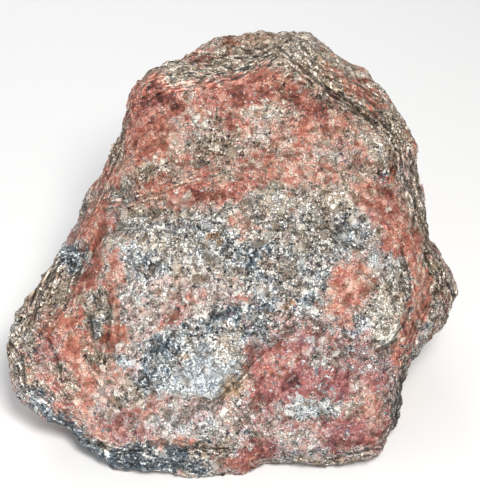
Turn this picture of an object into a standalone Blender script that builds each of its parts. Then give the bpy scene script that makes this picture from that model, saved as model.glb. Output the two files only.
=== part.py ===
"""A rough boulder of pink and grey granite, built as the one solid that it is.

Rules carve the stone out of space. Its broad face leans back, so it looks up and forward. Seen square to
that face, the stone's widest line is the girdle. Flat facets trim the stone ahead of the girdle and behind
it, and each edge between two facets is worn round. Ridges, grooves, ledges and hollows follow on the broad
face. Lumps and flake scars cover the whole stone. Last, the underside is cut flat where the stone rests.

Lengths in the tables are millimetres. +Z is up, and the broad face looks towards -Y.
"""

import math
from dataclasses import dataclass

import bmesh
import bpy
import numpy as np
from mathutils import Vector, noise

MM = 0.001

# Driving dimensions.
FACE_ELEVATION = math.radians(36)  # how far up the broad face looks
TOE_U = -201.0  # the front bottom edge, up along the broad face
TOE_W = -52.0  # the same edge, out from the broad face
EDGE_WEAR = 4.0  # roundness where facets meet
GIRDLE_PINCH = 0.5  # share of the girdle's radius lost over one taper
GIRDLE_PINCH_LIMIT = 0.8
GIRDLE_TAPER_FRONT = 150.0
GIRDLE_TAPER_BACK = 330.0
RELIEF_FADE_START = -95.0  # depth behind which the face's reliefs fade
RELIEF_FADE_END = -150.0
LUMP_HEIGHT = 2.0
LUMP_SIZES = ((62.0, 1.0), (27.0, 0.5), (12.0, 0.22))  # width and share of the height
FLAKE_COUNT = 170
FLAKE_TILT = 0.11
FLAKE_LIFT = 1.6
FLAKE_CURVE = 0.0045
FLAKE_BLEND = 0.5
FLAKE_SHARE = 0.55
FLAKE_FAR = 60.0  # a flake this far off no longer counts
HEART = (0.0, 165.0, 130.0)  # a point deep inside that sees the whole surface
REACH = 420.0  # farther from the heart than any of the surface
HALVINGS = 26
BLANK_SUBDIVISIONS = 7
SOLID_TRIANGLES = 10300  # before the underside is cut flat
GROUND_SIZE = (1.2, 1.2, 0.2)
STONE_COLOUR = (0.42, 0.28, 0.23, 1)
SEED = 11

EDGELESS = 1000.0
SPAN_RELEASE = 1.2  # how fast a facet lets go beyond its span

SIN_FACE = math.sin(FACE_ELEVATION)
COS_FACE = math.cos(FACE_ELEVATION)

# A place on the broad face is (x, u, w): right, up along the face, and out of it.
# World places are (x, y, z).

# The girdle, clockwise from the top as seen square to the broad face.
GIRDLE = [
    (0, 225, -124), (55, 251, -126), (78, 222, -124), (105, 202, -118), (141, 198, -112),
    (154, 168, -108), (170, 146, -105), (173, 120, -102), (178, 101, -100), (186, 73, -98),
    (182, 42, -96), (188, 21, -94), (197, -1, -93), (210, -19, -92), (216, -33, -90),
    (210, -49, -86), (200, -71, -82), (176, -82, -78), (160, -95, -74), (152, -117, -68),
    (153, -141, -64), (162, -187, -58), (152, -201, -54), (123, -199, -52), (88, -199, -50),
    (58, -192, -49), (20, -190, -50), (-3, -208, -51), (-28, -214, -51), (-67, -195, -52),
    (-113, -198, -53), (-132, -181, -53), (-175, -156, -54), (-205, -119, -57), (-218, -85, -62),
    (-206, -44, -68), (-177, -3, -76), (-163, 23, -80), (-151, 56, -84), (-132, 82, -88),
    (-131, 110, -91), (-118, 149, -96), (-97, 175, -104), (-73, 209, -112), (-36, 220, -120),
]


def to_face(world):
    """World millimetres to the broad face's frame."""
    x, y, z = world[..., 0], world[..., 1], world[..., 2]
    u = TOE_U + y * SIN_FACE + z * COS_FACE
    w = TOE_W - y * COS_FACE + z * SIN_FACE
    return np.stack([x, u, w], axis=-1)


def direction_to_world(face):
    """A direction in the broad face's frame, turned to world axes."""
    x, u, w = face
    return np.array([x, u * SIN_FACE - w * COS_FACE, u * COS_FACE + w * SIN_FACE])


def face_to_world(face):
    """A place in the broad face's frame, in world millimetres."""
    x, u, w = face
    return direction_to_world((x, u - TOE_U, w - TOE_W))


@dataclass(frozen=True)
class FaceFacet:
    """A flat ahead of the girdle: a point on it in the face's frame, its lean in degrees, and its span in u."""

    name: str
    at: tuple
    right: float
    up: float
    span: tuple = (-EDGELESS, EDGELESS)

    def plane(self):
        """The flat's outward normal, and its distance from the world's origin."""
        normal = np.array([math.tan(math.radians(self.right)), math.tan(math.radians(self.up)), 1.0])
        normal = direction_to_world(normal / np.linalg.norm(normal))
        return normal, float(normal @ face_to_world(self.at))


@dataclass(frozen=True)
class BackFacet:
    """A flat on the back, the flanks or the underside: a world point on it, and where it looks."""

    name: str
    at: tuple
    looks: tuple
    span: tuple = (-EDGELESS, EDGELESS)

    def plane(self):
        """The flat's outward normal, and its distance from the world's origin."""
        normal = np.array(self.looks, float)
        normal /= np.linalg.norm(normal)
        return normal, float(normal @ np.array(self.at, float))


FACETS = [
    FaceFacet("belly", (8, -36, 3), 0, -4),
    FaceFacet("belly_left", (-85, -36, -1), -13, 0),
    FaceFacet("belly_right", (111, -26, -3), 14, 3),
    FaceFacet("upper_face", (18, 114, -22), 2, 20),
    FaceFacet("upper_left", (-85, 105, -30), -16, 16),
    FaceFacet("upper_right", (121, 86, -32), 20, 16),
    FaceFacet("crown_band", (-60, 169, -39), -16, 60),
    FaceFacet("crown_right_band", (110, 142, -44), 42, 46),
    FaceFacet("right_band", (166, 70, -60), 63, 21, (42, EDGELESS)),
    FaceFacet("right_strip", (167, -35, -37), 46, -4),
    FaceFacet("right_lower_band", (157, -121, -34), 60, -26, (-EDGELESS, -90)),
    FaceFacet("right_toe", (152, -185, -10), 42, -50),
    FaceFacet("toe_wall", (64, -194, -15), 0, -60),
    FaceFacet("left_toe_wall", (-85, -189, -24), -8, -55),
    FaceFacet("left_under_wall", (-154, -173, -24), -35, -60),
    FaceFacet("left_lobe", (-193, -92, -30), -42, -12),
    FaceFacet("left_band", (-173, -21, -38), -48, 37, (-EDGELESS, 70)),
    FaceFacet("left_upper_band", (-125, 106, -66), -66, 44, (24, EDGELESS)),
    FaceFacet("lower_left", (-104, -129, -9), -14, -20),
    FaceFacet("lower_middle", (8, -157, -8), 0, -24),
    FaceFacet("lower_right", (93, -129, -5), 8, -12),
    BackFacet("bed", (0, 150, -9), (0, 0, -1)),
    BackFacet("left_undercut", (-182, 20, 30), (-0.50, -0.62, -0.60)),
    BackFacet("left_flank", (-230, 73, 85), (-0.85, 0.10, -0.50)),
    BackFacet("left_upper_flank", (-145, 223, 234), (-0.82, 0.50, 0.27)),
    BackFacet("left_back", (-203, 180, 122), (-0.75, 0.62, 0.12)),
    BackFacet("left_back_heel", (-150, 220, 60), (-0.60, 0.50, -0.62)),
    BackFacet("back", (0, 328, 290), (0.06, 0.97, 0.20)),
    BackFacet("back_heel", (0, 362, 110), (-0.08, 0.80, -0.60)),
    BackFacet("crown_back", (0, 326, 322), (0.05, 0.55, 0.84)),
    BackFacet("right_upper_flank", (204, 211, 200), (0.85, 0.45, 0.25)),
    BackFacet("right_back", (172, 272, 150), (0.72, 0.68, 0.12)),
    BackFacet("right_back_heel", (150, 250, 60), (0.60, 0.50, -0.62)),
    BackFacet("right_flank", (224, 130, 110), (0.87, -0.10, -0.48)),
]


@dataclass(frozen=True)
class Relief:
    """A ridge (or a groove, where the height is negative) along a line on the face. One point makes a swell."""

    name: str
    line: tuple
    height: float
    width: float


RELIEFS = [
    Relief("belly_dome", ((13, -3),), 7, 80),
    Relief("lower_left_swell", ((-62, -100),), 7, 44),
    Relief("upper_left_swell", ((-74, 112),), 3, 32),
    Relief("right_swell", ((122, -30),), 4, 34),
    Relief("lower_right_swell", ((80, -128),), 5, 40),
    Relief("left_notch", ((-145, 4), (-152, -6)), -9, 12),
    Relief("left_valley", ((-176, -34), (-160, -18), (-147, 0), (-132, 20)), -6, 10),
    Relief("red_ridge", ((-128, 16), (-140, -12), (-155, -50)), 6, 10),
    Relief("green_hollow", ((-138, -40), (-131, -64), (-127, -92)), -6, 13),
    Relief("left_lobe_swell", ((-186, -98),), 6, 26),
    Relief("diagonal_step", ((46, -65), (20, -82), (-5, -106), (-27, -134), (-65, -151)), -6, 7),
    Relief("toe_groove", ((20, -134), (-1, -157), (-18, -187)), -5, 6),
    Relief("brow_ledge", ((-136, 40), (-106, 57), (-66, 66), (-34, 75), (10, 70)), 4, 7),
    Relief("brow_foot", ((-132, 26), (-100, 44), (-60, 53), (-30, 60)), -3, 6),
    Relief("right_ledge", ((154, 8), (160, -36), (152, -68), (135, -96)), -4, 5),
    Relief("right_rib", ((167, 14), (173, -28), (165, -62), (150, -92)), 3, 6),
    Relief("shoulder_groove", ((172, 28), (177, -2), (180, -26), (168, -66)), -6, 6),
    Relief("toe_ledge", ((135, -124), (129, -160), (95, -178)), -4, 5),
    Relief("crown_rib", ((58, 206), (84, 190), (116, 164), (146, 144), (164, 112)), 5, 7),
    Relief("crown_gutter", ((52, 186), (76, 170), (104, 150), (134, 134)), -3, 6),
    Relief("crown_knob", ((12, 180), (36, 180)), 5, 12),
    Relief("crown_lip", ((-97, 164), (-60, 167), (-20, 168)), 3, 8),
    Relief("brown_pit", ((140, 68),), -6, 9),
    Relief("crown_pit", ((-52, 196), (-20, 200)), -4, 8),
    Relief("mid_saddle", ((-40, 40), (40, 45), (95, 30)), -3, 16),
    Relief("upper_hollow", ((-20, 122), (10, 110)), -4, 22),
    Relief("upper_right_hollow", ((100, 110),), -4, 20),
]


def girdle_table():
    """The girdle's angle, radius and depth, sorted and closed, for interpolation."""
    points = np.array(GIRDLE, float)
    angle = np.arctan2(points[:, 1], points[:, 0])
    order = np.argsort(angle)
    angle = angle[order]
    points = points[order]
    radius = np.hypot(points[:, 0], points[:, 1])
    depth = points[:, 2]
    turn = 2 * math.pi
    angles = np.concatenate([angle[-3:] - turn, angle, angle[:3] + turn])
    radii = np.concatenate([radius[-3:], radius, radius[:3]])
    depths = np.concatenate([depth[-3:], depth, depth[:3]])
    return angles, radii, depths


def outside_girdle(face, table):
    """How far places lie outside the girdle, which closes in ahead of its widest line and behind it."""
    angles, radii, depths = table
    angle = np.arctan2(face[:, 1], face[:, 0])
    radius = np.interp(angle, angles, radii)
    ahead = face[:, 2] - np.interp(angle, angles, depths)
    taper = np.where(ahead > 0, GIRDLE_TAPER_FRONT, GIRDLE_TAPER_BACK)
    pinch = np.minimum(GIRDLE_PINCH * (ahead / taper) ** 2, GIRDLE_PINCH_LIMIT)
    return np.hypot(face[:, 0], face[:, 1]) - radius * (1 - pinch)


def distance_to_line(places, line):
    """Distance on the broad face from each place to a line through points."""
    line = np.array(line, float)
    if len(line) == 1:
        return np.linalg.norm(places - line[0], axis=1)
    nearest = np.full(len(places), np.inf)
    for start, end in zip(line[:-1], line[1:]):
        along = end - start
        share = np.clip((places - start) @ along / (along @ along), 0, 1)
        gap = np.linalg.norm(places - start - share[:, None] * along, axis=1)
        nearest = np.minimum(nearest, gap)
    return nearest


def relief_height(face):
    """The summed height of the ridges and grooves at each place."""
    fade = np.clip((face[:, 2] - RELIEF_FADE_END) / (RELIEF_FADE_START - RELIEF_FADE_END), 0, 1)
    total = np.zeros(len(face))
    for relief in RELIEFS:
        off = distance_to_line(face[:, :2], relief.line) / relief.width
        total += relief.height * np.exp(-0.5 * off**2)
    return total * fade


def outside(world, planes, table):
    """How far world places lie outside the stone, with the edges between facets worn round."""
    normals, offsets, spans = planes
    face = to_face(world)
    beyond = np.maximum(spans[:, 0] - face[:, 1:2], face[:, 1:2] - spans[:, 1])
    over = world @ normals.T - offsets - SPAN_RELEASE * np.maximum(beyond, 0)
    over = np.column_stack([over, outside_girdle(face, table)])
    highest = over.max(axis=1)
    crowding = np.exp((over - highest[:, None]) / EDGE_WEAR).sum(axis=1)
    return highest + EDGE_WEAR * np.log(crowding) - relief_height(face)


def carve(directions):
    """The stone's surface along each direction from its heart, found by halving."""
    pairs = [facet.plane() for facet in FACETS]
    normals = np.array([normal for normal, _ in pairs])
    offsets = np.array([offset for _, offset in pairs])
    planes = (normals, offsets, np.array([facet.span for facet in FACETS]))
    table = girdle_table()
    heart = np.array(HEART)
    near = np.zeros(len(directions))
    far = np.full(len(directions), REACH)
    for _ in range(HALVINGS):
        middle = (near + far) / 2
        inside = outside(heart + directions * middle[:, None], planes, table) < 0
        near = np.where(inside, middle, near)
        far = np.where(inside, far, middle)
    return heart + directions * near[:, None]


def lumps(places):
    """Rolling lumps of three sizes, from coarse swells to knuckles."""
    height = np.zeros(len(places))
    for index, place in enumerate(places):
        for size, share in LUMP_SIZES:
            height[index] += share * noise.noise(Vector(place / size) + Vector((size, 0, 0)))
    return LUMP_HEIGHT * height


def flaking(places, rng):
    """Flake scars and cobbles: the least of many upturned dishes, less the least of as many more."""
    seeds = places[rng.choice(len(places), 2 * FLAKE_COUNT, replace=False)]
    tilts = rng.normal(0, FLAKE_TILT, seeds.shape)
    lifts = rng.uniform(-FLAKE_LIFT, FLAKE_LIFT, len(seeds))
    total = np.zeros(len(places))
    for half, sign in ((slice(0, FLAKE_COUNT), 1.0), (slice(FLAKE_COUNT, None), -1.0)):
        weight = np.zeros(len(places))
        for seed, tilt, lift in zip(seeds[half], tilts[half], lifts[half]):
            offset = places - seed
            dish = lift + offset @ tilt + FLAKE_CURVE * (offset**2).sum(axis=1)
            weight += np.exp(-np.minimum(dish, FLAKE_FAR) / FLAKE_BLEND)
        total -= sign * FLAKE_BLEND * np.log(weight)
    return total * FLAKE_SHARE


def set_places(mesh, places):
    """Moves the mesh's vertices to these millimetre places."""
    mesh.vertices.foreach_set("co", (places * MM).astype(np.float32).ravel())
    mesh.update()


def collection(name):
    """A new collection in the scene."""
    made = bpy.data.collections.new(name)
    bpy.context.scene.collection.children.link(made)
    return made


def granite():
    """Pink and grey granite, dull and rough."""
    material = bpy.data.materials.new("granite")
    material.use_nodes = True
    shader = material.node_tree.nodes["Principled BSDF"]
    shader.inputs["Base Color"].default_value = STONE_COLOUR
    shader.inputs["Roughness"].default_value = 0.8
    shader.inputs["Metallic"].default_value = 0
    return material


def blank():
    """An even ball whose points become the stone's."""
    ball = bmesh.new()
    bmesh.ops.create_icosphere(ball, subdivisions=BLANK_SUBDIVISIONS, radius=1.0)
    mesh = bpy.data.meshes.new("rough_rock")
    ball.to_mesh(mesh)
    ball.free()
    return mesh


def ground_cutter(cutters):
    """A slab whose top is the surface that the stone stands on."""
    bpy.ops.mesh.primitive_cube_add(size=1.0, location=(0, 0, -GROUND_SIZE[2] / 2))
    ground = bpy.context.object
    ground.name = "ground_cutter"
    ground.scale = GROUND_SIZE
    for other in ground.users_collection:
        other.objects.unlink(ground)
    cutters.objects.link(ground)
    ground.hide_render = True
    ground.display_type = "WIRE"
    return ground


def centre_over_origin(rock):
    """Moves the finished stone so that its box stands centred on the origin."""
    bpy.context.view_layer.update()
    evaluated = rock.evaluated_get(bpy.context.evaluated_depsgraph_get())
    corners = np.array([vertex.co for vertex in evaluated.data.vertices])
    middle = (corners.min(axis=0) + corners.max(axis=0)) / 2
    rock.location = (-middle[0], -middle[1], 0)


def rough_rock(parts, cutters):
    """The stone: carved, roughened, thinned to its solid and cut flat where it rests."""
    mesh = blank()
    directions = np.array([vertex.co for vertex in mesh.vertices], float)
    directions /= np.linalg.norm(directions, axis=1)[:, None]
    places = carve(directions)
    skin = lumps(places) + flaking(places, np.random.default_rng(SEED))
    set_places(mesh, places + directions * skin[:, None])
    mesh.materials.append(granite())
    mesh.shade_smooth()
    rock = bpy.data.objects.new("rough_rock", mesh)
    parts.objects.link(rock)
    thin = rock.modifiers.new("thin", "DECIMATE")
    thin.ratio = SOLID_TRIANGLES / len(mesh.polygons)
    rest = rock.modifiers.new("rest", "BOOLEAN")
    rest.operation = "DIFFERENCE"
    rest.solver = "EXACT"
    rest.object = ground_cutter(cutters)
    centre_over_origin(rock)
    return rock


def main():
    """Clears the scene and builds the stone."""
    for obj in list(bpy.data.objects):
        bpy.data.objects.remove(obj)
    parts = collection("rough_rock")
    cutters = collection("rough_rock_cutters")
    rough_rock(parts, cutters)


main()
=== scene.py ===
"""Dresses the rough rock: a fine skin of broken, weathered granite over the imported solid.

The skin is cast from the solid's own mesh, broken with facets, ridges and creases, fitted back to the solid's
box and painted with its minerals. The granite's shader reads that paint. A pale floor lies under the stone.
"""

import logging
import math
from dataclasses import astuple, dataclass
from enum import Enum

import bpy
import numpy as np
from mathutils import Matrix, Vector


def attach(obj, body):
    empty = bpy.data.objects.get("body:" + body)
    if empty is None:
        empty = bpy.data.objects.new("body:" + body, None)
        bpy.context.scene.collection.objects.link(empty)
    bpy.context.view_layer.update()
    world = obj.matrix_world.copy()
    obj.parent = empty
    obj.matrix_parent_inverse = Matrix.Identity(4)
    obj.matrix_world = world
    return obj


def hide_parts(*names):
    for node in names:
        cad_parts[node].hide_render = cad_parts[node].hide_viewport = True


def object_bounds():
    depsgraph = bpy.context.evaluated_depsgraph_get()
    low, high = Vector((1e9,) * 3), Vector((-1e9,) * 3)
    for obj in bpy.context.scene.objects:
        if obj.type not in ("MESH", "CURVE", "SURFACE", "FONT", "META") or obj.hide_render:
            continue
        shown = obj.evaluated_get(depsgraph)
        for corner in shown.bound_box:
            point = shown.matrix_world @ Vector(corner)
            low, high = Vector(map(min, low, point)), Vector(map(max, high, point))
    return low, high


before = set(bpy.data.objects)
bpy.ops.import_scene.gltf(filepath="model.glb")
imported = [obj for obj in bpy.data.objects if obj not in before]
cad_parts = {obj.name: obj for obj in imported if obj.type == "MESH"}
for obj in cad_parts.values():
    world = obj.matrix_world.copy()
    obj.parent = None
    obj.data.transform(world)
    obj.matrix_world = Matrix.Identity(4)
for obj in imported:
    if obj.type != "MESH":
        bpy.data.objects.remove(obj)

CAD_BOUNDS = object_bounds()
LOG = logging.getLogger("rough_rock")

NODE = "rough_rock"
BODY = "root"
MM = 0.001

Line = tuple[tuple[float, float], ...]
Colour = tuple[float, float, float, float]
Stops = tuple[tuple[float, Colour], ...]


# ---- Mineral zones -----------------------------------------------


@dataclass(frozen=True)
class Mix:
    """What a zone of the granite is made of.

    Feldspar, plagioclase and quartz are shares, and dark mica takes what they leave. The others run from 0 to
    1: iron stain, how deep and how cool the colours are, soil, big crystals, and grit.
    """

    feldspar: float
    plagioclase: float
    quartz: float
    iron: float = 0.0
    depth: float = 0.4
    cool: float = 0.4
    soil: float = 0.0
    coarse: float = 0.35
    grit: float = 0.6

    def shares(self) -> list[float]:
        """The nine values in the order that the skin stores them."""
        return list(astuple(self))


# Where the skin stores a mix's values: four in each of two attributes, and then the grit.
MINERALS = slice(0, 4)
TONES = slice(4, 8)
GRIT = 8


class Zone(Enum):
    """The stone's kinds of granite, from deep pink to blue-grey, and its stains and crusts."""

    ROSE = Mix(0.76, 0.15, 0.05, depth=0.50, cool=0.35, coarse=0.6, grit=0.45)
    MAUVE = Mix(0.74, 0.14, 0.08, depth=0.62, cool=0.85, coarse=0.6, grit=0.35)
    RED = Mix(0.84, 0.08, 0.05, iron=0.10, depth=0.52, cool=0.08, coarse=0.6, grit=0.4)
    MAROON = Mix(0.78, 0.06, 0.08, depth=0.76, cool=0.25, coarse=0.4, grit=0.6)
    SALMON = Mix(0.82, 0.13, 0.03, depth=0.33, cool=0.15, coarse=0.7, grit=0.4)
    SHELL = Mix(0.84, 0.14, 0.01, depth=0.13, cool=0.20, coarse=0.7, grit=0.45)
    TAWNY = Mix(0.50, 0.28, 0.14, iron=0.14, depth=0.42, cool=0.12, soil=0.04, coarse=0.5, grit=0.85)
    BLUSH = Mix(0.38, 0.50, 0.07, depth=0.22, cool=0.50, grit=0.55)
    DUSK = Mix(0.50, 0.25, 0.17, depth=0.50, cool=0.75, grit=0.75)
    CREAM = Mix(0.12, 0.82, 0.04, depth=0.15, cool=0.15, coarse=0.7, grit=0.75)
    GRAVEL = Mix(0.05, 0.86, 0.05, iron=0.02, depth=0.2, cool=0.30, coarse=0.5, grit=0.95)
    GREY = Mix(0.12, 0.58, 0.22, depth=0.25, cool=0.45, grit=0.95)
    FROST = Mix(0.03, 0.93, 0.03, depth=0.2, cool=0.9, coarse=0.4, grit=0.75)
    SLATE = Mix(0.03, 0.25, 0.56, depth=0.3, cool=0.92, grit=0.9)
    STEEL = Mix(0.04, 0.08, 0.64, depth=0.3, cool=0.90, coarse=0.3, grit=0.45)
    INK = Mix(0.01, 0.08, 0.42, depth=0.3, cool=1.0, coarse=0.2, grit=0.7)
    MOSS = Mix(0.08, 0.46, 0.38, iron=0.06, depth=0.2, cool=0.40, soil=0.22, coarse=0.3, grit=0.5)
    OLIVE = Mix(0.06, 0.48, 0.34, iron=0.10, depth=0.2, cool=0.15, soil=0.10, grit=0.95)
    CRUST = Mix(0.14, 0.70, 0.10, iron=0.14, depth=0.40, cool=0.05, soil=0.05, coarse=0.35, grit=1.0)
    UMBER = Mix(0.26, 0.14, 0.32, iron=0.08, depth=0.75, cool=0.25, soil=0.45, coarse=0.3, grit=1.0)
    TAN = Mix(0.30, 0.36, 0.24, iron=0.55, depth=0.35, cool=0.0, soil=0.1, grit=0.7)
    OCHRE = Mix(0.25, 0.36, 0.28, iron=0.95, depth=0.1, cool=0.0, grit=0.7)
    RUST = Mix(0.50, 0.12, 0.18, iron=0.95, depth=0.9, cool=0.0, soil=0.1, grit=0.7)


@dataclass(frozen=True)
class Patch:
    """One patch of a zone on the broad face.

    Its middle and half-sizes are in marks, its turn is in degrees, and strength is how far it covers what it
    lies on.
    """

    zone: Zone
    across: float
    down: float
    wide: float
    tall: float
    strength: float = 1.0
    turn: float = 0.0

    def reach(self, marks: np.ndarray) -> np.ndarray:
        """How far out each mark is, squared.

        Args:
            marks: Marks to the right and down, one row each.

        Returns:
            For each, 0 at the patch's middle and 1 on the ellipse of its half-sizes.
        """
        angle = math.radians(self.turn)
        across, down = marks[:, 0] - self.across, marks[:, 1] - self.down
        along = across * math.cos(angle) + down * math.sin(angle)
        aside = -across * math.sin(angle) + down * math.cos(angle)
        return (along / self.wide) ** 2 + (aside / self.tall) ** 2


# Short, because every row of the patches names it.
Z = Zone


def laid(*rows: tuple) -> tuple[Patch, ...]:
    """Patches from rows of their values, in the order that they are laid."""
    return tuple(Patch(*row) for row in rows)


# Broad fields come first, so that the small patches lie over them.
FIELDS = laid(
    (Z.TAWNY, 235, 140, 150, 70, 0.9), (Z.BLUSH, 250, 142, 90, 34, 0.45), (Z.GREY, 235, 270, 130, 75, 0.95),
    (Z.DUSK, 320, 390, 90, 75, 0.8), (Z.BLUSH, 150, 400, 110, 60, 0.7), (Z.SALMON, 80, 370, 45, 60, 0.7),
)
CROWN = laid(
    (Z.CRUST, 205, 62, 85, 20, 1.0, -10), (Z.CREAM, 208, 72, 60, 15, 0.8, -12),
    (Z.CRUST, 300, 60, 60, 20, 1.0, 20), (Z.CRUST, 360, 92, 60, 20, 1.0, 40), (Z.TAN, 250, 42, 28, 9, 0.9),
    (Z.CREAM, 250, 45, 24, 7, 0.4), (Z.RUST, 231, 42, 7, 5, 0.9), (Z.ROSE, 203, 52, 22, 6, 0.5, -15),
    (Z.CREAM, 186, 67, 16, 7, 0.8), (Z.CREAM, 220, 62, 13, 7, 0.8), (Z.MAROON, 205, 63, 8, 5, 0.7),
    (Z.GRAVEL, 205, 80, 38, 5, 0.8), (Z.CREAM, 172, 74, 14, 7, 0.8, -20),
    (Z.GRAVEL, 222, 66, 16, 7, 0.7, -10), (Z.MAROON, 190, 60, 9, 3, 0.5, -15),
    (Z.CREAM, 200, 79, 36, 6, 0.9, -3), (Z.SHELL, 202, 83, 26, 4, 1.0, -3),
    (Z.CREAM, 222, 70, 20, 6, 0.6, -10), (Z.CREAM, 306, 58, 34, 12, 0.6, 25),
    (Z.CREAM, 352, 74, 26, 8, 0.6, 38), (Z.RUST, 324, 68, 6, 8, 0.4, 50), (Z.RUST, 348, 84, 13, 5, 0.6, 30),
    (Z.RED, 345, 80, 20, 5, 0.7, 38), (Z.RED, 366, 93, 20, 6, 1.0, 40), (Z.SALMON, 381, 103, 8, 5, 0.8, 30),
    (Z.RUST, 411, 126, 5, 16, 0.4, -15), (Z.CRUST, 124, 118, 9, 45, 1.0, 22),
)
UPPER_FACE = laid(
    (Z.ROSE, 152, 114, 36, 34, 0.95), (Z.BLUSH, 172, 126, 12, 12, 0.6, 30),
    (Z.MAROON, 156, 103, 22, 12, 0.9), (Z.SALMON, 166, 148, 22, 20, 0.8, -40),
    (Z.RED, 148, 142, 18, 20, 0.8), (Z.SALMON, 175, 162, 10, 14, 0.8, 25), (Z.SALMON, 165, 88, 12, 5, 0.9),
    (Z.SALMON, 152, 79, 14, 7, 0.6, -20), (Z.CREAM, 190, 103, 7, 14, 0.75, -20),
    (Z.CREAM, 198, 112, 7, 9, 0.6), (Z.ROSE, 232, 100, 42, 18, 0.9), (Z.MAROON, 240, 96, 30, 6, 0.25, 5),
    (Z.ROSE, 250, 82, 40, 12, 0.8, 5), (Z.RED, 275, 76, 27, 9, 0.95, 10),
    (Z.MAROON, 272, 78, 20, 6, 0.45, 10), (Z.CREAM, 178, 145, 5, 20, 0.6, 15),
    (Z.BLUSH, 197, 137, 9, 8, 0.8), (Z.GREY, 200, 118, 8, 6, 0.7), (Z.OLIVE, 215, 116, 7, 6, 0.8),
    (Z.SALMON, 234, 126, 12, 10, 0.6), (Z.CREAM, 251, 122, 8, 14, 1.0, 15),
    (Z.SHELL, 255, 122, 14, 13, 0.5), (Z.CREAM, 258, 108, 9, 6, 0.9), (Z.CREAM, 270, 114, 9, 8, 0.7),
    (Z.BLUSH, 262, 136, 10, 8, 0.8), (Z.TAWNY, 300, 97, 34, 15, 0.9, 25),
    (Z.MAROON, 290, 98, 22, 9, 0.55, 15), (Z.UMBER, 320, 98, 26, 5, 0.6, 30),
    (Z.MAROON, 318, 115, 22, 10, 0.75, 20), (Z.SALMON, 308, 132, 15, 10), (Z.RED, 306, 130, 8, 6, 0.5),
    (Z.SALMON, 333, 128, 9, 8, 0.95), (Z.SALMON, 312, 146, 26, 6, 0.7), (Z.CREAM, 316, 157, 6, 5),
    (Z.CREAM, 338, 153, 10, 6, 0.8), (Z.DUSK, 352, 152, 10, 20, 0.7, -35),
    (Z.TAWNY, 352, 130, 14, 12, 0.7, 20), (Z.CREAM, 362, 142, 16, 12, 0.6, 30),
    (Z.SHELL, 360, 150, 14, 8, 0.5, 30), (Z.CREAM, 381, 152, 8, 11, 0.7),
    (Z.OLIVE, 214, 151, 26, 12, 0.75, -8), (Z.CREAM, 209, 148, 4, 4, 0.9), (Z.FROST, 148, 163, 12, 7, 0.4),
    (Z.OLIVE, 160, 174, 24, 10, 0.65), (Z.TAWNY, 250, 165, 50, 12, 0.6),
    (Z.SALMON, 207, 168, 16, 6, 0.7, -10), (Z.CREAM, 232, 165, 14, 4, 0.6), (Z.OLIVE, 224, 172, 9, 6, 0.6),
    (Z.RED, 243, 168, 8, 8, 0.5), (Z.SALMON, 318, 171, 44, 13, 0.95), (Z.SHELL, 322, 172, 34, 10, 0.85),
    (Z.BLUSH, 330, 160, 26, 10, 0.5), (Z.OLIVE, 357, 176, 18, 14, 0.6), (Z.RUST, 392, 175, 7, 12, 0.95),
    (Z.INK, 384, 180, 6, 9, 0.6), (Z.CRUST, 406, 165, 10, 42, 0.9, -8), (Z.DUSK, 404, 172, 8, 24, 0.6, -8),
)
# The band between the upper face and the belly.
BROW = laid(
    (Z.TAWNY, 170, 190, 56, 12, 0.9, -8), (Z.RED, 172, 188, 44, 6, 0.8, -8), (Z.MAUVE, 205, 184, 9, 5, 0.5),
    (Z.ROSE, 218, 195, 32, 9, 0.85), (Z.ROSE, 255, 182, 22, 11, 0.8), (Z.MAROON, 250, 196, 18, 5, 0.5),
    (Z.TAN, 150, 196, 26, 4, 0.6, -8), (Z.RED, 107, 180, 14, 14, 0.6, -30),
    (Z.GREY, 120, 194, 14, 12, 0.85), (Z.RED, 95, 226, 14, 25, 0.95, 25), (Z.SLATE, 255, 199, 7, 6, 0.8),
    (Z.CREAM, 277, 200, 23, 9, 1.0, 8), (Z.FROST, 280, 201, 16, 6, 0.35, 8), (Z.ROSE, 182, 207, 22, 8, 0.6),
    (Z.RED, 246, 225, 18, 8, 0.6, 10), (Z.CREAM, 347, 201, 20, 10, 1.0, 20),
    (Z.SHELL, 352, 198, 20, 8, 0.9, 20), (Z.CREAM, 345, 202, 24, 13, 0.8, 20),
    (Z.ROSE, 384, 206, 24, 20, 1.0, 40), (Z.MAROON, 386, 206, 14, 10, 0.4, 40),
    (Z.SALMON, 370, 194, 14, 8, 0.4, 20), (Z.RED, 405, 237, 14, 22, 0.85, -25),
    (Z.CRUST, 421, 212, 8, 42, 0.9, -12),
)
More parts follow.
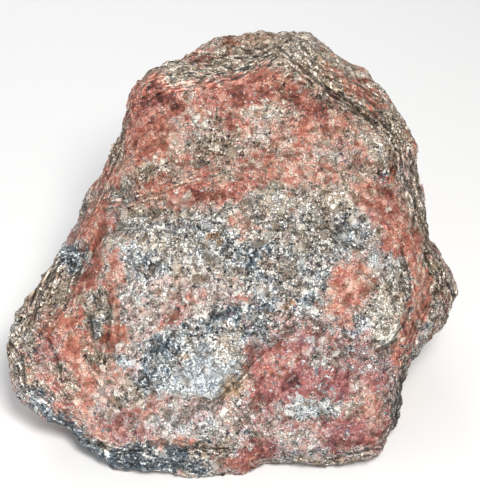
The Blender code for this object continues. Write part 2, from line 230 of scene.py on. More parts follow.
BELLY = laid(
    (Z.OLIVE, 166, 225, 32, 9, 0.6), (Z.SLATE, 162, 227, 26, 8, 0.6), (Z.CREAM, 146, 246, 34, 14),
    (Z.BLUSH, 140, 244, 20, 9, 0.4), (Z.CREAM, 206, 258, 26, 14, 0.9), (Z.FROST, 202, 256, 20, 10, 0.5),
    (Z.FROST, 135, 258, 12, 14, 0.8), (Z.FROST, 205, 225, 14, 8, 0.6), (Z.SLATE, 150, 262, 20, 10, 0.5),
    (Z.SLATE, 195, 231, 14, 8, 0.6), (Z.SLATE, 161, 268, 9, 6, 0.8), (Z.SLATE, 225, 247, 20, 14, 0.6),
    (Z.SLATE, 250, 254, 20, 13, 0.9), (Z.INK, 257, 259, 12, 9, 0.95), (Z.STEEL, 250, 254, 9, 7, 0.4),
    (Z.SLATE, 262, 275, 9, 6, 0.8), (Z.INK, 310, 270, 10, 9, 0.55), (Z.SLATE, 322, 279, 12, 7, 0.7),
    (Z.STEEL, 309, 299, 9, 8, 0.9), (Z.SLATE, 341, 240, 13, 15, 0.5), (Z.FROST, 348, 236, 8, 8, 0.6),
    (Z.SLATE, 328, 264, 12, 8, 0.6), (Z.SLATE, 264, 303, 16, 12, 0.7), (Z.STEEL, 268, 300, 9, 8, 0.6),
    (Z.SLATE, 226, 317, 28, 9, 1.0, -15), (Z.INK, 230, 316, 22, 6, 0.7, -15),
    (Z.INK, 254, 333, 11, 12, 0.75), (Z.FROST, 372, 262, 14, 9, 0.7), (Z.OCHRE, 178, 276, 5, 9, 0.6),
    (Z.OCHRE, 210, 243, 5, 5, 0.8), (Z.OCHRE, 293, 305, 4, 6, 0.8), (Z.OCHRE, 267, 262, 7, 5, 0.4),
    (Z.BLUSH, 165, 300, 40, 28, 0.85), (Z.BLUSH, 150, 335, 26, 16, 0.8), (Z.BLUSH, 205, 288, 32, 14, 0.5),
    (Z.ROSE, 186, 303, 16, 6, 0.6), (Z.ROSE, 172, 320, 13, 10, 0.7), (Z.BLUSH, 236, 298, 24, 12, 0.6),
    (Z.DUSK, 240, 300, 18, 10, 0.35), (Z.ROSE, 239, 298, 10, 6, 0.7), (Z.SALMON, 352, 284, 25, 22),
    (Z.RED, 350, 284, 14, 12, 0.45), (Z.SALMON, 334, 303, 14, 12, 0.95), (Z.SALMON, 343, 318, 12, 8, 0.6),
    (Z.GRAVEL, 390, 312, 17, 28, 1.0, -15), (Z.GRAVEL, 384, 340, 16, 10, 0.9),
    (Z.CREAM, 391, 308, 13, 18, 0.7, -15), (Z.GREY, 396, 277, 14, 14, 0.8), (Z.SLATE, 362, 324, 8, 6, 0.7),
)
LEFT_SIDE = laid(
    (Z.SALMON, 118, 268, 9, 17, 0.9), (Z.RED, 110, 300, 12, 30, 0.8, 5), (Z.RED, 118, 336, 9, 12, 0.95),
    (Z.RED, 90, 272, 9, 38, 1.0, 18), (Z.RED, 66, 335, 24, 26, 0.9), (Z.SALMON, 78, 358, 20, 18, 0.85),
    (Z.OLIVE, 98, 314, 14, 23, 1.0, -5), (Z.MOSS, 96, 310, 13, 19, 1.0, -5),
    (Z.SLATE, 101, 328, 7, 12, 0.7), (Z.OLIVE, 98, 361, 11, 8, 0.8), (Z.INK, 79, 330, 3, 2),
    (Z.FROST, 121, 363, 9, 9, 0.9), (Z.CRUST, 47, 285, 22, 34, 1.0, 32),
    (Z.SLATE, 72, 256, 17, 14, 1.0, 40), (Z.INK, 78, 252, 7, 7, 0.7, 40),
    (Z.CREAM, 61, 277, 13, 6, 0.4, -30), (Z.UMBER, 44, 290, 20, 30, 0.3, 32),
    (Z.MAROON, 90, 274, 8, 30, 0.35, 18), (Z.CRUST, 24, 350, 12, 36, 0.85), (Z.GREY, 22, 348, 10, 30, 0.5),
    (Z.DUSK, 45, 352, 13, 20, 0.7), (Z.RED, 22, 367, 5, 20, 0.5, -15), (Z.SLATE, 45, 396, 12, 9, 0.6, 20),
)
# The lower left, with the pale lobe.
LOWER_LEFT = laid(
    (Z.SLATE, 188, 368, 52, 36, 0.3, -10), (Z.FROST, 202, 371, 34, 25), (Z.CREAM, 226, 346, 14, 12, 0.9),
    (Z.FROST, 204, 373, 30, 20, 1.0, -15), (Z.CREAM, 222, 352, 12, 8, 0.6, -30),
    (Z.SLATE, 160, 352, 15, 16, 0.9), (Z.FROST, 158, 368, 12, 10, 0.3), (Z.INK, 164, 345, 8, 10, 0.6),
    (Z.SLATE, 150, 378, 14, 20, 0.8), (Z.SLATE, 180, 334, 18, 8, 0.7, -25), (Z.OCHRE, 180, 354, 6, 6, 0.35),
    (Z.CREAM, 238, 384, 10, 16, 0.5, 38), (Z.OCHRE, 236, 385, 10, 18, 0.55, 38),
    (Z.OCHRE, 250, 364, 5, 9, 0.6, 35), (Z.SALMON, 86, 395, 17, 19), (Z.ROSE, 88, 396, 12, 14, 0.35),
    (Z.BLUSH, 112, 405, 22, 18, 0.95), (Z.MAUVE, 131, 416, 9, 13, 0.6), (Z.MAUVE, 122, 431, 26, 8, 0.6, 5),
    (Z.ROSE, 146, 407, 13, 10, 0.6), (Z.OLIVE, 132, 394, 15, 12, 0.6), (Z.OLIVE, 66, 378, 9, 18, 0.7, -25),
    (Z.BLUSH, 190, 420, 42, 15, 0.9), (Z.FROST, 188, 424, 36, 12, 0.5), (Z.MAUVE, 196, 417, 13, 6, 0.4),
    (Z.GREY, 215, 432, 12, 8, 0.7), (Z.BLUSH, 240, 428, 11, 22, 0.5, 42),
    (Z.SLATE, 240, 430, 7, 16, 0.2, 42),
)
LOWER_RIGHT = laid(
    (Z.MAUVE, 284, 371, 33, 28), (Z.MAUVE, 274, 386, 24, 20), (Z.MAUVE, 262, 355, 14, 12, 0.8),
    (Z.MAUVE, 300, 345, 13, 11, 0.9), (Z.DUSK, 345, 352, 36, 15, 0.9), (Z.SHELL, 290, 362, 10, 6, 0.6, 30),
    (Z.CREAM, 270, 362, 4, 3, 0.6), (Z.GREY, 334, 356, 30, 12, 0.4), (Z.SALMON, 268, 372, 14, 20, 0.4, 20),
    (Z.SLATE, 320, 362, 8, 7, 0.7), (Z.DUSK, 356, 366, 16, 10, 0.8), (Z.MAUVE, 345, 395, 16, 20, 0.9),
    (Z.BLUSH, 366, 398, 13, 24, 0.8), (Z.SALMON, 368, 408, 9, 20, 0.5), (Z.MAUVE, 376, 380, 14, 10, 0.8),
    (Z.GREY, 318, 411, 32, 9, 0.8, 5), (Z.GRAVEL, 318, 411, 28, 8, 0.5, 5),
    (Z.FROST, 312, 412, 22, 7, 0.8, 5), (Z.CREAM, 351, 412, 10, 7, 0.7), (Z.FROST, 322, 411, 24, 6, 0.4),
    (Z.MAUVE, 340, 436, 30, 15, 0.9), (Z.BLUSH, 300, 436, 22, 13, 0.7),
    (Z.MAUVE, 254, 454, 24, 10, 0.95, -20), (Z.MAROON, 252, 458, 20, 7, 0.85, -20),
)
# The strips along the right side and the toe. Their dark strips partly paint the shade of surfaces turned
# away from the light.
RIGHT_AND_TOE = laid(
    (Z.RED, 420, 288, 10, 34, 1.0, -5), (Z.SALMON, 418, 272, 7, 14, 0.6, -5),
    (Z.RED, 409, 330, 9, 20, 0.85, 20), (Z.RED, 400, 356, 9, 14, 0.75, 30),
    (Z.CRUST, 442, 298, 12, 40, 1.0, -10), (Z.OCHRE, 443, 297, 4, 4, 0.8),
    # Dark umber, ink, crust and dusk strips that partly paint the shade on the right side and the toe.
    (Z.RUST, 432, 337, 8, 5, 0.9, -20), (Z.UMBER, 402, 402, 11, 46, 1.0, 14),
    (Z.INK, 402, 400, 9, 44, 0.5, 14), (Z.CRUST, 366, 452, 40, 8, 0.95, -14),
    (Z.UMBER, 372, 453, 34, 7, 0.4, -14), (Z.DUSK, 366, 450, 28, 7, 0.8, -14),
    (Z.UMBER, 434, 252, 8, 22, 0.4, -20), (Z.UMBER, 447, 304, 9, 34, 0.5, -10),
    (Z.DUSK, 440, 308, 8, 20, 0.4, -10), (Z.SALMON, 419, 290, 8, 26, 0.7, -5),
    # The slate, steel and ink strips under the toe paint the shade of the underside and the cool light
    # reflected up into it.
    (Z.CRUST, 320, 465, 60, 4, 0.9), (Z.SLATE, 70, 431, 50, 10, 1.0, 38),
    (Z.STEEL, 70, 431, 48, 9, 0.8, 38), (Z.SLATE, 155, 459, 62, 11, 1.0, 3),
    (Z.STEEL, 152, 460, 60, 10, 1.0, 3), (Z.INK, 150, 460, 58, 10, 1.4, 3),
    (Z.OLIVE, 146, 452, 24, 4, 0.25), (Z.OLIVE, 206, 450, 14, 9, 0.8), (Z.RED, 226, 462, 18, 5, 0.5),
)
PATCHES: tuple[Patch, ...] = (
    FIELDS + CROWN + UPPER_FACE + BROW + BELLY + LEFT_SIDE + LOWER_LEFT + LOWER_RIGHT + RIGHT_AND_TOE
)

# Granite out of sight of the broad face: zones, and the level of a slow random field at which each one rules.
FIELD_LEVELS: tuple[tuple[float, Zone], ...] = (
    (-0.62, Zone.SLATE), (-0.36, Zone.GREY), (-0.14, Zone.CRUST), (0.06, Zone.BLUSH), (0.24, Zone.DUSK),
    (0.40, Zone.ROSE), (0.60, Zone.SALMON),
)


# ---- Random fields -----------------------------------------------

# Large odd numbers and shifts that scatter whole-number corners evenly over 32 bits.
CORNER_FACTORS = np.array([73856093, 19349663, 83492791], np.int64)
SEED_FACTOR = 2654435761
CHANNEL_FACTOR = 40503001
STIRS = ((15, 2246822519), (13, 3266489917))
STIR_ROUNDS = 2
LAST_SHIFT = 16
ALL_BITS = 0xFFFFFFFF

# What keeps a division by a weight of nothing from failing.
TINY = 1e-9

# What brings gradient noise to about -1 to 1, and how many widest swells apart a fractal's sizes are read.
GRADIENT_LIFT = 1.6
OCTAVE_SHIFT = 17.3


@dataclass(frozen=True)
class Lattice:
    """Smooth random fields in space, the same on every run."""

    seed: int

    def _random(self, corners: np.ndarray, channel: int) -> np.ndarray:
        """Even random numbers for lattice corners.

        Args:
            corners: Whole-number corners, one row each.
            channel: Which of the independent numbers to give.

        Returns:
            One number from 0 to 1 for each corner.
        """
        mixed = corners.astype(np.int64) @ CORNER_FACTORS
        mixed = (mixed + self.seed * SEED_FACTOR + channel * CHANNEL_FACTOR) & ALL_BITS
        for shift, factor in STIRS * STIR_ROUNDS:
            mixed = ((mixed ^ (mixed >> shift)) * factor) & ALL_BITS
        return (mixed ^ (mixed >> LAST_SHIFT)) / ALL_BITS

    def smooth(self, places: np.ndarray, size: float) -> np.ndarray:
        """Gradient noise.

        Args:
            places: Points, one row each.
            size: The width of the field's swells, in the same unit.

        Returns:
            Values from about -1 to 1.
        """
        scaled = places / size
        base = np.floor(scaled)
        part = scaled - base
        ease = part**3 * (part * (part * 6 - 15) + 10)
        total = np.zeros(len(places))
        for corner in np.ndindex(2, 2, 2):
            offset = np.array(corner)
            gradient = np.stack([self._random(base + offset, axis) * 2 - 1 for axis in range(3)], axis=1)
            weight = np.prod(np.where(offset == 1, ease, 1 - ease), axis=1)
            total += weight * ((part - offset) * gradient).sum(axis=1)
        return total * GRADIENT_LIFT

    def side_by_side(self, places: np.ndarray, size: float, count: int, first: int = 0) -> np.ndarray:
        """Several smooth fields that have nothing to do with one another.

        Args:
            places: Points in metres, one row each.
            size: The width of the fields' swells, in metres.
            count: How many fields.
            first: How many metres on the first one is read. Each of the others is read a metre further on.

        Returns:
            One column of values from about -1 to 1 for each field.
        """
        return np.stack([self.smooth(places + step, size) for step in range(first, first + count)], axis=1)

    def fractal(self, places: np.ndarray, size: float, octaves: int, gain: float = 0.5) -> np.ndarray:
        """Gradient noise of several sizes summed, each half as wide as the one before.

        Args:
            places: Points, one row each.
            size: The width of the widest swells.
            octaves: How many sizes.
            gain: Each size's height next to the one before.

        Returns:
            Values from about -1 to 1.
        """
        total = np.zeros(len(places))
        height = 1.0
        for octave in range(octaves):
            total += height * self.smooth(places + octave * OCTAVE_SHIFT * size, size / 2**octave)
            height *= gain
        return total

    def facets(
        self, places: np.ndarray, size: float, crispness: float = 26.0, tilt: float = 2, step: float = 0.5
    ) -> np.ndarray:
        """Broken ground: a plane tilted at random for each scattered cell, joined in short steps.

        Args:
            places: Points, one row each.
            size: The cells' width.
            crispness: How short the steps between the planes are.
            tilt: How steep the planes are.
            step: How far apart in height they lie.

        Returns:
            Heights from about -1 to 1.
        """
        scaled = places / size
        base = np.floor(scaled)
        total = np.zeros(len(places))
        weights = np.full(len(places), TINY)
        for near in np.ndindex(3, 3, 3):
            corner = base + np.array(near) - 1
            lots = [self._random(corner, channel) for channel in range(7)]
            gap = scaled - corner - np.stack(lots[:3], axis=1)
            weight = np.exp(-crispness * (gap**2).sum(axis=1))
            slope = (gap * (np.stack(lots[3:6], axis=1) - 0.5)).sum(axis=1)
            total += weight * (tilt * slope + step * (lots[6] - 0.5))
            weights += weight
        return total / weights


def ramp(values: np.ndarray, low: float, high: float) -> np.ndarray:
    """An eased rise from 0 to 1.

    Args:
        values: Where to read the rise.
        low: Where it starts.
        high: Where it ends.

    Returns:
        The rise at each value.
    """
    share = np.clip((values - low) / (high - low), 0, 1)
    return share * share * (3 - 2 * share)


# ---- The broad face's sheet of marks -----------------------------


@dataclass(frozen=True)
class FaceSheet:
    """A sheet of square marks held up to the broad face, as seen from the standing point.

    Marks count to the right and down from the sheet's upper left corner. The standing point, the sheet and
    the stone share this geometry, so the camera is placed from it too. Lengths are in metres, and the centre
    and the side are in marks.
    """

    elevation: float = math.radians(36)
    toe: tuple[float, float] = (0.00436, -0.17181)
    toe_up: float = -0.201
    toe_out: float = -0.052
    distance: float = 1.5
    mark: float = 0.000935
    side: float = 500.0
    centre: tuple[float, float] = (240.0, 250.0)
    centre_across: float = -0.0009
    centre_up: float = 0.0112

    @property
    def up(self) -> np.ndarray:
        """The direction up the sheet."""
        return np.array([0.0, math.sin(self.elevation), math.cos(self.elevation)])

    @property
    def out(self) -> np.ndarray:
        """The direction out of the sheet, to the standing point."""
        return np.array([0.0, -math.cos(self.elevation), math.sin(self.elevation)])

    def to_face(self, places: np.ndarray) -> np.ndarray:
        """Places as distances across, up and out of the sheet.

        Args:
            places: Points in metres, one row each.

        Returns:
            Metres across, up and out, one row each.
        """
        shifted = places - np.array([self.toe[0], self.toe[1], 0.0])
        up, out = self.toe_up + shifted @ self.up, self.toe_out + shifted @ self.out
        return np.stack([shifted[:, 0], up, out], axis=1)

    def from_face(self, across: float, up: float, out: float) -> Vector:
        """The opposite of to_face, for one place.

        Args:
            across: Metres across the sheet.
            up: Metres up it.
            out: Metres out of it.

        Returns:
            The point in metres.
        """
        shifted = np.array([across, 0.0, 0.0])
        shifted = shifted + (up - self.toe_up) * self.up + (out - self.toe_out) * self.out
        return Vector(shifted + np.array([self.toe[0], self.toe[1], 0.0]))

    def marks(self, places: np.ndarray) -> np.ndarray:
        """Where places show on the sheet from the standing point.

        Args:
            places: Points in metres, one row each.

        Returns:
            Marks to the right and down, one row each.
        """
        face = self.to_face(places)
        nearing = self.distance / (self.distance - face[:, 2]) / self.mark
        across = self.centre[0] + (face[:, 0] - self.centre_across) * nearing
        down = self.centre[1] - (face[:, 1] - self.centre_up) * nearing
        return np.stack([across, down], axis=1)

    def standing_point(self) -> Vector:
        """Where the viewer stands."""
        return self.from_face(self.centre_across, self.centre_up, self.distance)

    def aim(self) -> Vector:
        """The middle of the sheet."""
        return self.from_face(self.centre_across, self.centre_up, 0.0)


def distance_to_line(places: np.ndarray, line: Line) -> tuple[np.ndarray, np.ndarray]:
    """How far places on the sheet are from a line through marks, and how far along it.

    Args:
        places: Marks to the right and down, one row each.
        line: The line's marks.

    Returns:
        Each place's distance, below 0 to one side of the line, and the length of line up to it, in marks.
    """
    corners = np.array(line, float)
    nearest = np.full(len(places), np.inf)
    run = np.zeros(len(places))
    passed = 0.0
    for start, end in zip(corners[:-1], corners[1:]):
        along = end - start
        offset = places - start
        share = np.clip(offset @ along / (along @ along), 0, 1)
        gap = np.linalg.norm(offset - share[:, None] * along, axis=1)
        side = np.where(along[0] * offset[:, 1] - along[1] * offset[:, 0] < 0, -1.0, 1.0)
        length = np.linalg.norm(along)
        nearer = gap < np.abs(nearest)
        nearest = np.where(nearer, side * gap, nearest)
        run = np.where(nearer, passed + share * length, run)
        passed += length
    return nearest, run


# ---- The skin's points -------------------------------------------


@dataclass
class Skin:
    """A closed mesh's points as arrays, for moving them in bulk."""

    mesh: bpy.types.Mesh

    def __post_init__(self) -> None:
        """Reads the mesh's points and edges."""
        self.places = np.empty(len(self.mesh.vertices) * 3, np.float32)
        self.mesh.vertices.foreach_get("co", self.places)
        self.places = self.places.reshape(-1, 3).astype(float)
        edges = np.empty(len(self.mesh.edges) * 2, np.int32)
        self.mesh.edges.foreach_get("vertices", edges)
        self.edges = edges.reshape(-1, 2)

    def write(self) -> None:
        """Puts the points back in the mesh."""
        self.mesh.vertices.foreach_set("co", self.places.astype(np.float32).ravel())
        self.mesh.update()

    def normals(self) -> np.ndarray:
        """Writes the points back and reads how they face.

        Returns:
            The mesh's vertex normals, one row each.
        """
        self.write()
        normals = np.empty(len(self.places) * 3, np.float32)
        self.mesh.vertex_normals.foreach_get("vector", normals)
        return normals.reshape(-1, 3).astype(float)

    def spread(self, values: np.ndarray, rounds: int = 1) -> np.ndarray:
        """Averages values with their neighbours'.

        Args:
            values: One row or number for each point.
            rounds: How many times.

        Returns:
            The averaged values.
        """
        first, last = self.edges[:, 0], self.edges[:, 1]
        count = len(self.places)
        degree = np.bincount(first, minlength=count) + np.bincount(last, minlength=count)
        columns = values.reshape(count, -1).copy()
        for _ in range(rounds):
            for index in range(columns.shape[1]):
                column = columns[:, index]
                total = np.bincount(first, column[last], count) + np.bincount(last, column[first], count)
                columns[:, index] = 0.5 * column + 0.5 * total / degree
        return columns.reshape(values.shape)

    def push(self, heights: np.ndarray) -> None:
        """Moves each point along its normal by a height in metres."""
        self.places = self.places + self.normals() * heights[:, None]

    def paint(self, name: str, values: np.ndarray, bounded: bool = True) -> None:
        """Stores four numbers for each point as a colour attribute.

        Args:
            name: The attribute's name.
            values: Four numbers for each point.
            bounded: Whether to hold them from 0 to 1.
        """
        attribute = self.mesh.attributes.new(name, "FLOAT_COLOR", "POINT")
        kept = np.clip(values, 0, 1) if bounded else values
        attribute.data.foreach_set("color", kept.astype(np.float32).ravel())


class Draw(Enum):
    """The random fields that the stone draws on, by how far each one's seed is from the stone's own."""

    CHIPS = 0
    CRAGS = 1
    KNUCKLES = 2
    WARP = 3
    CREASES = 9
    DRIFT = 11
    JITTER = 12
    COUNTRY = 21
    SWAY = 31


@dataclass(frozen=True)
class Step:
    """A step of work on the skin, which knows the broad face and draws on random fields of its own.

    Behind and in_sight are cosines of the angle between a point's normal and its line to the standing point.
    """

    sheet: FaceSheet
    seed: int = 5
    behind: float = -0.25
    in_sight: float = 0.1

    def field(self, draw: Draw) -> Lattice:
        """The random field of one draw."""
        return Lattice(self.seed + draw.value)

    def face_share(self, skin: Skin) -> np.ndarray:
        """How far each point belongs to the broad face.

        Args:
            skin: The skin to read.

        Returns:
            From 0 behind the stone to 1 in plain sight of the standing point.
        """
        toward = np.array(self.sheet.standing_point()) - skin.places
        toward /= np.linalg.norm(toward, axis=1)[:, None]
        return ramp((skin.normals() * toward).sum(axis=1), self.behind, self.in_sight)


@dataclass(frozen=True)
class Shift:
    """A random shift: how wide its swells are, in metres, and how far it moves things, in marks."""

    size: float
    reach: float


@dataclass(frozen=True)
class Relief:
    """One size of breakage: how wide its forms are, and how far they stand out or in, in metres."""

    size: float
    height: float


# ---- The zones over the skin -------------------------------------


@dataclass(frozen=True)
class Zoning(Step):
    """Lays the zones over the skin: the patches on the broad face, and a slow random field everywhere else.

    The patches' edges drift, jitter and fray, each more finely than the one before. The open country away
    from the patches has a size in metres, and its height multiplies the levels of its field.
    """

    drift: Shift = Shift(24 * MM, 9.0)
    jitter: Shift = Shift(7 * MM, 7.0)
    fray: Shift = Shift(3.5 * MM, 5.0)
    edge_power: float = 2.2
    edge_fall: float = 0.6
    country: Relief = Relief(75 * MM, 0.95)
    country_octaves: int = 3
    country_gain: float = 0.55

    def mixture(self, skin: Skin) -> np.ndarray:
        """What the granite is made of at each point.

        Args:
            skin: The skin to read.

        Returns:
            The nine values of a mix for each point.
        """
        mix = self.open_country(skin.places)
        marks = self.ragged_marks(skin.places)
        share = self.face_share(skin)
        for patch in PATCHES:
            cover = patch.strength * share * np.exp(-(patch.reach(marks) ** self.edge_power) * self.edge_fall)
            mix += cover[:, None] * (np.array(patch.zone.value.shares()) - mix)
        return mix

    def ragged_marks(self, places: np.ndarray) -> np.ndarray:
        """Where places show on the sheet, moved about so that no patch has a clean edge.

        Args:
            places: Points in metres, one row each.

        Returns:
            Marks to the right and down, one row each.
        """
        slow, quick = self.field(Draw.DRIFT), self.field(Draw.JITTER)
        marks = self.sheet.marks(places)
        marks = marks + self.drift.reach * slow.side_by_side(places, self.drift.size, 2)
        marks = marks + self.jitter.reach * quick.side_by_side(places, self.jitter.size, 2)
        return marks + self.fray.reach * quick.side_by_side(places, self.fray.size, 2, first=2)

    def open_country(self, places: np.ndarray) -> np.ndarray:
        """The granite's make-up away from the broad face, from one slow random field.

        Args:
            places: Points in metres, one row each.

        Returns:
            The nine values of a mix for each point.
        """
        field = self.field(Draw.COUNTRY)
        level = field.fractal(places, self.country.size, self.country_octaves, self.country_gain)
        level = self.country.height * level
        levels = np.array([step[0] for step in FIELD_LEVELS])
        shares = np.array([step[1].value.shares() for step in FIELD_LEVELS])
        return np.stack([np.interp(level, levels, column) for column in shares.T], axis=1)


# ---- Breakage ----------------------------------------------------


@dataclass(frozen=True)
class Crease:
    """A fine ledge or crack along a line of marks on the broad face. Its width is in marks."""

    line: Line
    height: float
    width: float = 3.0


CREASES: tuple[Crease, ...] = (
    Crease(((150, 86), (178, 84), (205, 79), (235, 74), (262, 68), (284, 64)), -0.9),
    Crease(((284, 60), (305, 72), (330, 88), (352, 98), (372, 112), (392, 124)), -0.9),
    Crease(((318, 60), (345, 78), (370, 92), (392, 108)), 1.0, 4.0),
    Crease(((140, 92), (133, 120), (126, 150), (112, 172)), -0.7),
    Crease(((110, 212), (135, 203), (165, 196), (200, 192), (232, 196)), -0.8),
    Crease(((72, 243), (88, 258), (99, 240), (106, 226)), -1.2, 3.5),
    Crease(((110, 298), (108, 318), (109, 340), (116, 358)), -0.9),
    Crease(((85, 303), (90, 324), (96, 345), (103, 358)), -0.8),
    Crease(((24, 308), (40, 322), (52, 345), (58, 372), (74, 404)), -0.8),
    Crease(((18, 352), (26, 378), (44, 398), (70, 414)), -0.7),
    Crease(((92, 366), (112, 384), (128, 398)), -0.9, 2.5),
    Crease(((60, 421), (86, 436), (112, 448), (140, 447), (172, 442), (205, 447)), -1.1),
    Crease(((176, 330), (205, 316), (240, 308), (262, 300)), -0.7),
    Crease(((262, 296), (284, 290), (318, 302), (322, 308)), -0.6, 2.5),
    Crease(((262, 350), (244, 372), (226, 392), (204, 408)), -0.9),
    Crease(((214, 410), (232, 420), (246, 436), (262, 448)), -0.8),
    Crease(((398, 262), (408, 288), (408, 316), (400, 340), (382, 354)), -1.2, 2.5),
    Crease(((402, 258), (413, 288), (412, 320), (403, 346)), 0.9),
    Crease(((425, 232), (432, 262), (436, 286), (430, 310), (414, 334)), -1.1),
    Crease(((390, 372), (391, 400), (384, 428), (358, 446), (320, 456)), -1.0),
    Crease(((404, 360), (404, 390), (397, 420), (384, 448)), -0.7, 2.5),
    Crease(((268, 462), (300, 458), (340, 460)), -0.6, 2.5),
    Crease(((376, 118), (392, 146), (400, 180), (408, 214), (420, 240)), -0.9),
    Crease(((384, 168), (382, 184), (388, 196)), -1.0),
    Crease(((300, 98), (330, 104), (356, 118)), -0.6, 2.5),
    Crease(((236, 176), (262, 190), (300, 188)), -0.5, 2.5),
    Crease(((206, 116), (222, 120), (236, 118)), -0.6, 2.5),
)


@dataclass(frozen=True)
class Breakage(Step):
    """Breaks the skin, from chips down to grit, and cuts its named creases.

    Gritty granite is rougher: rough_least is how rough it is with no grit, and rough_more is what full grit
    adds. A crease's height is in millimetres, before crease_gain. It swells along its line, by crease_swell.
    """

    chips: Relief = Relief(30 * MM, 3.4 * MM)
    crags: Relief = Relief(12 * MM, 2.0 * MM)
    knuckles: Relief = Relief(6 * MM, 1.0 * MM)
    grit: Relief = Relief(3 * MM, 0.4 * MM)
    warp: Relief = Relief(15 * MM, 3 * MM)
    rough_least: float = 0.45
    rough_more: float = 0.75
    rough_blur: int = 3
    ridge_spread: float = 1.4
    ridge_octaves: int = 3
    ridge_height: float = 0.3
    knuckle_crispness: float = 18.0
    grit_octaves: int = 2
    grit_gain: float = 0.7
    crease_sway: Shift = Shift(11 * MM, 3.0)
    crease_gain: float = 1.7
    crease_swell: Relief = Relief(20 * MM, 0.6)
    crease_least: float = 0.7

    def roughen(self, skin: Skin, grit: np.ndarray) -> None:
        """Breaks the skin at every size.

        Args:
            skin: The eased skin.
            grit: How gritty the granite is at each point, from 0 to 1.
        """
        crags, knuckles = self.field(Draw.CRAGS), self.field(Draw.KNUCKLES)
        places = skin.places
        bend = self.field(Draw.WARP).side_by_side(places, self.warp.size, 3)
        bent = places + self.warp.height * bend
        rough = self.rough_least + self.rough_more * skin.spread(grit, self.rough_blur)
        skin.push(self.chips.height * self.field(Draw.CHIPS).facets(bent, self.chips.size))
        ridges = crags.fractal(places, self.crags.size * self.ridge_spread, self.ridge_octaves)
        broken = crags.facets(bent, self.crags.size) + self.ridge_height * (0.5 - np.abs(ridges))
        skin.push(rough * self.crags.height * broken)
        self.crease(skin)
        broken = knuckles.facets(skin.places, self.knuckles.size, self.knuckle_crispness)
        skin.push(rough * self.knuckles.height * broken)
        broken = knuckles.fractal(skin.places, self.grit.size, self.grit_octaves, self.grit_gain)
        skin.push(rough * self.grit.height * broken)

    def crease(self, skin: Skin) -> None:
        """Cuts the fine ledges and cracks of the broad face.

        Args:
            skin: The skin, broken down to its crags.
        """
        share = self.face_share(skin)
        field = self.field(Draw.CREASES)
        sway = field.side_by_side(skin.places, self.crease_sway.size, 2)
        marks = self.sheet.marks(skin.places) + self.crease_sway.reach * sway
        swell = field.smooth(skin.places, self.crease_swell.size)
        height = np.zeros(len(marks))
        for crease in CREASES:
            gap = distance_to_line(marks, crease.line)[0] / crease.width
            height += self.crease_gain * crease.height * MM * np.exp(-0.5 * gap**2)
        skin.push(height * share * (self.crease_least + self.crease_swell.height * swell))


# ---- Ribs and cracks ---------------------------------------------


@dataclass(frozen=True)
class Strand:
    """A band of fine ribs side by side that follows a line of marks on the broad face.

    The band is its half-width in marks. Ribs and crack are how strongly its ribs and the crack along it show.
    """

    line: Line
    band: float
    ribs: float
    crack: float


STRANDS: tuple[Strand, ...] = (
    # The crown.
    Strand(((141, 81), (161, 68), (184, 62), (213, 67), (233, 73), (256, 64), (273, 56)), 6.0, 1.3, 0.45),
    Strand(((150, 82), (168, 76), (188, 74), (210, 77), (230, 72)), 4.0, 1.3, 0.3),
    Strand(((168, 63), (184, 55), (204, 54), (222, 58), (240, 60)), 5.0, 1.2, 0.3),
    Strand(((142, 98), (173, 86), (204, 84), (236, 75), (261, 62)), 7.0, 1.3, 0.45),
    Strand(((279, 47), (301, 67), (327, 90), (347, 104), (373, 124)), 8.0, 0.8, 0.9),
    Strand(((301, 44), (324, 70), (347, 80), (381, 99)), 8.0, 0.9, 0.9),
    Strand(((230, 44), (248, 52), (270, 44)), 5.0, 0.6, 0.6),
    # The right flank.
    Strand(
        ((325, 86), (349, 100), (373, 114), (393, 136), (401, 164), (409, 188), (421, 220), (435, 246)),
        8.0, 1.0, 0.8,
    ),
    Strand(((377, 110), (389, 126), (395, 144), (393, 164), (385, 188)), 5.0, 0.8, 0.9),
    Strand(((410, 150), (418, 184), (430, 222), (446, 262), (454, 300)), 9.0, 1.0, 0.6),
    Strand(((402, 252), (410, 280), (411, 302), (405, 320), (390, 342), (377, 350)), 5.0, 0.5, 1.0),
    Strand(((425, 257), (437, 280), (430, 302), (415, 325), (410, 345)), 7.0, 0.8, 0.9),
    Strand(((405, 360), (400, 400), (395, 420), (380, 445), (362, 451), (337, 457)), 9.0, 0.9, 0.8),
    # The left flank.
    Strand(((150, 70), (134, 96), (124, 132), (108, 178), (92, 210)), 9.0, 0.9, 0.4),
    Strand(((92, 240), (84, 262), (67, 304), (52, 326)), 7.0, 0.8, 0.9),
    Strand(((62, 262), (38, 298), (24, 330)), 12.0, 1.0, 0.6),
    Strand(((10, 340), (22, 362), (25, 382), (48, 402), (78, 428)), 9.0, 0.8, 0.8),
    Strand(((25, 325), (50, 340), (58, 360), (55, 383), (73, 405)), 7.0, 0.7, 0.9),
    Strand(((52, 420), (82, 440), (120, 450), (140, 450), (160, 444), (190, 446), (235, 450)), 8.0, 0.7, 1.0),
    # Lines inside the broad face.
    Strand(((106, 292), (111, 308), (111, 326), (107, 342), (104, 362)), 4.0, 0.3, 1.0),
    Strand(((83, 298), (92, 318), (93, 340), (98, 356)), 4.0, 0.3, 0.8),
    Strand(((92, 375), (100, 390), (118, 408)), 5.0, 0.5, 0.9),
    Strand(((108, 204), (130, 200), (160, 193), (196, 180), (214, 176)), 6.0, 0.7, 0.7),
    Strand(((262, 352), (244, 374), (224, 394), (196, 412)), 7.0, 0.5, 0.7),
    Strand(((160, 380), (190, 352), (226, 330)), 14.0, 0.4, 0.0),
    Strand(((236, 404), (250, 424), (262, 446)), 7.0, 0.6, 0.6),
    Strand(((150, 118), (160, 138), (178, 158)), 6.0, 0.4, 0.6),
    Strand(((206, 116), (222, 120), (236, 118)), 4.0, 0.3, 0.7),
)


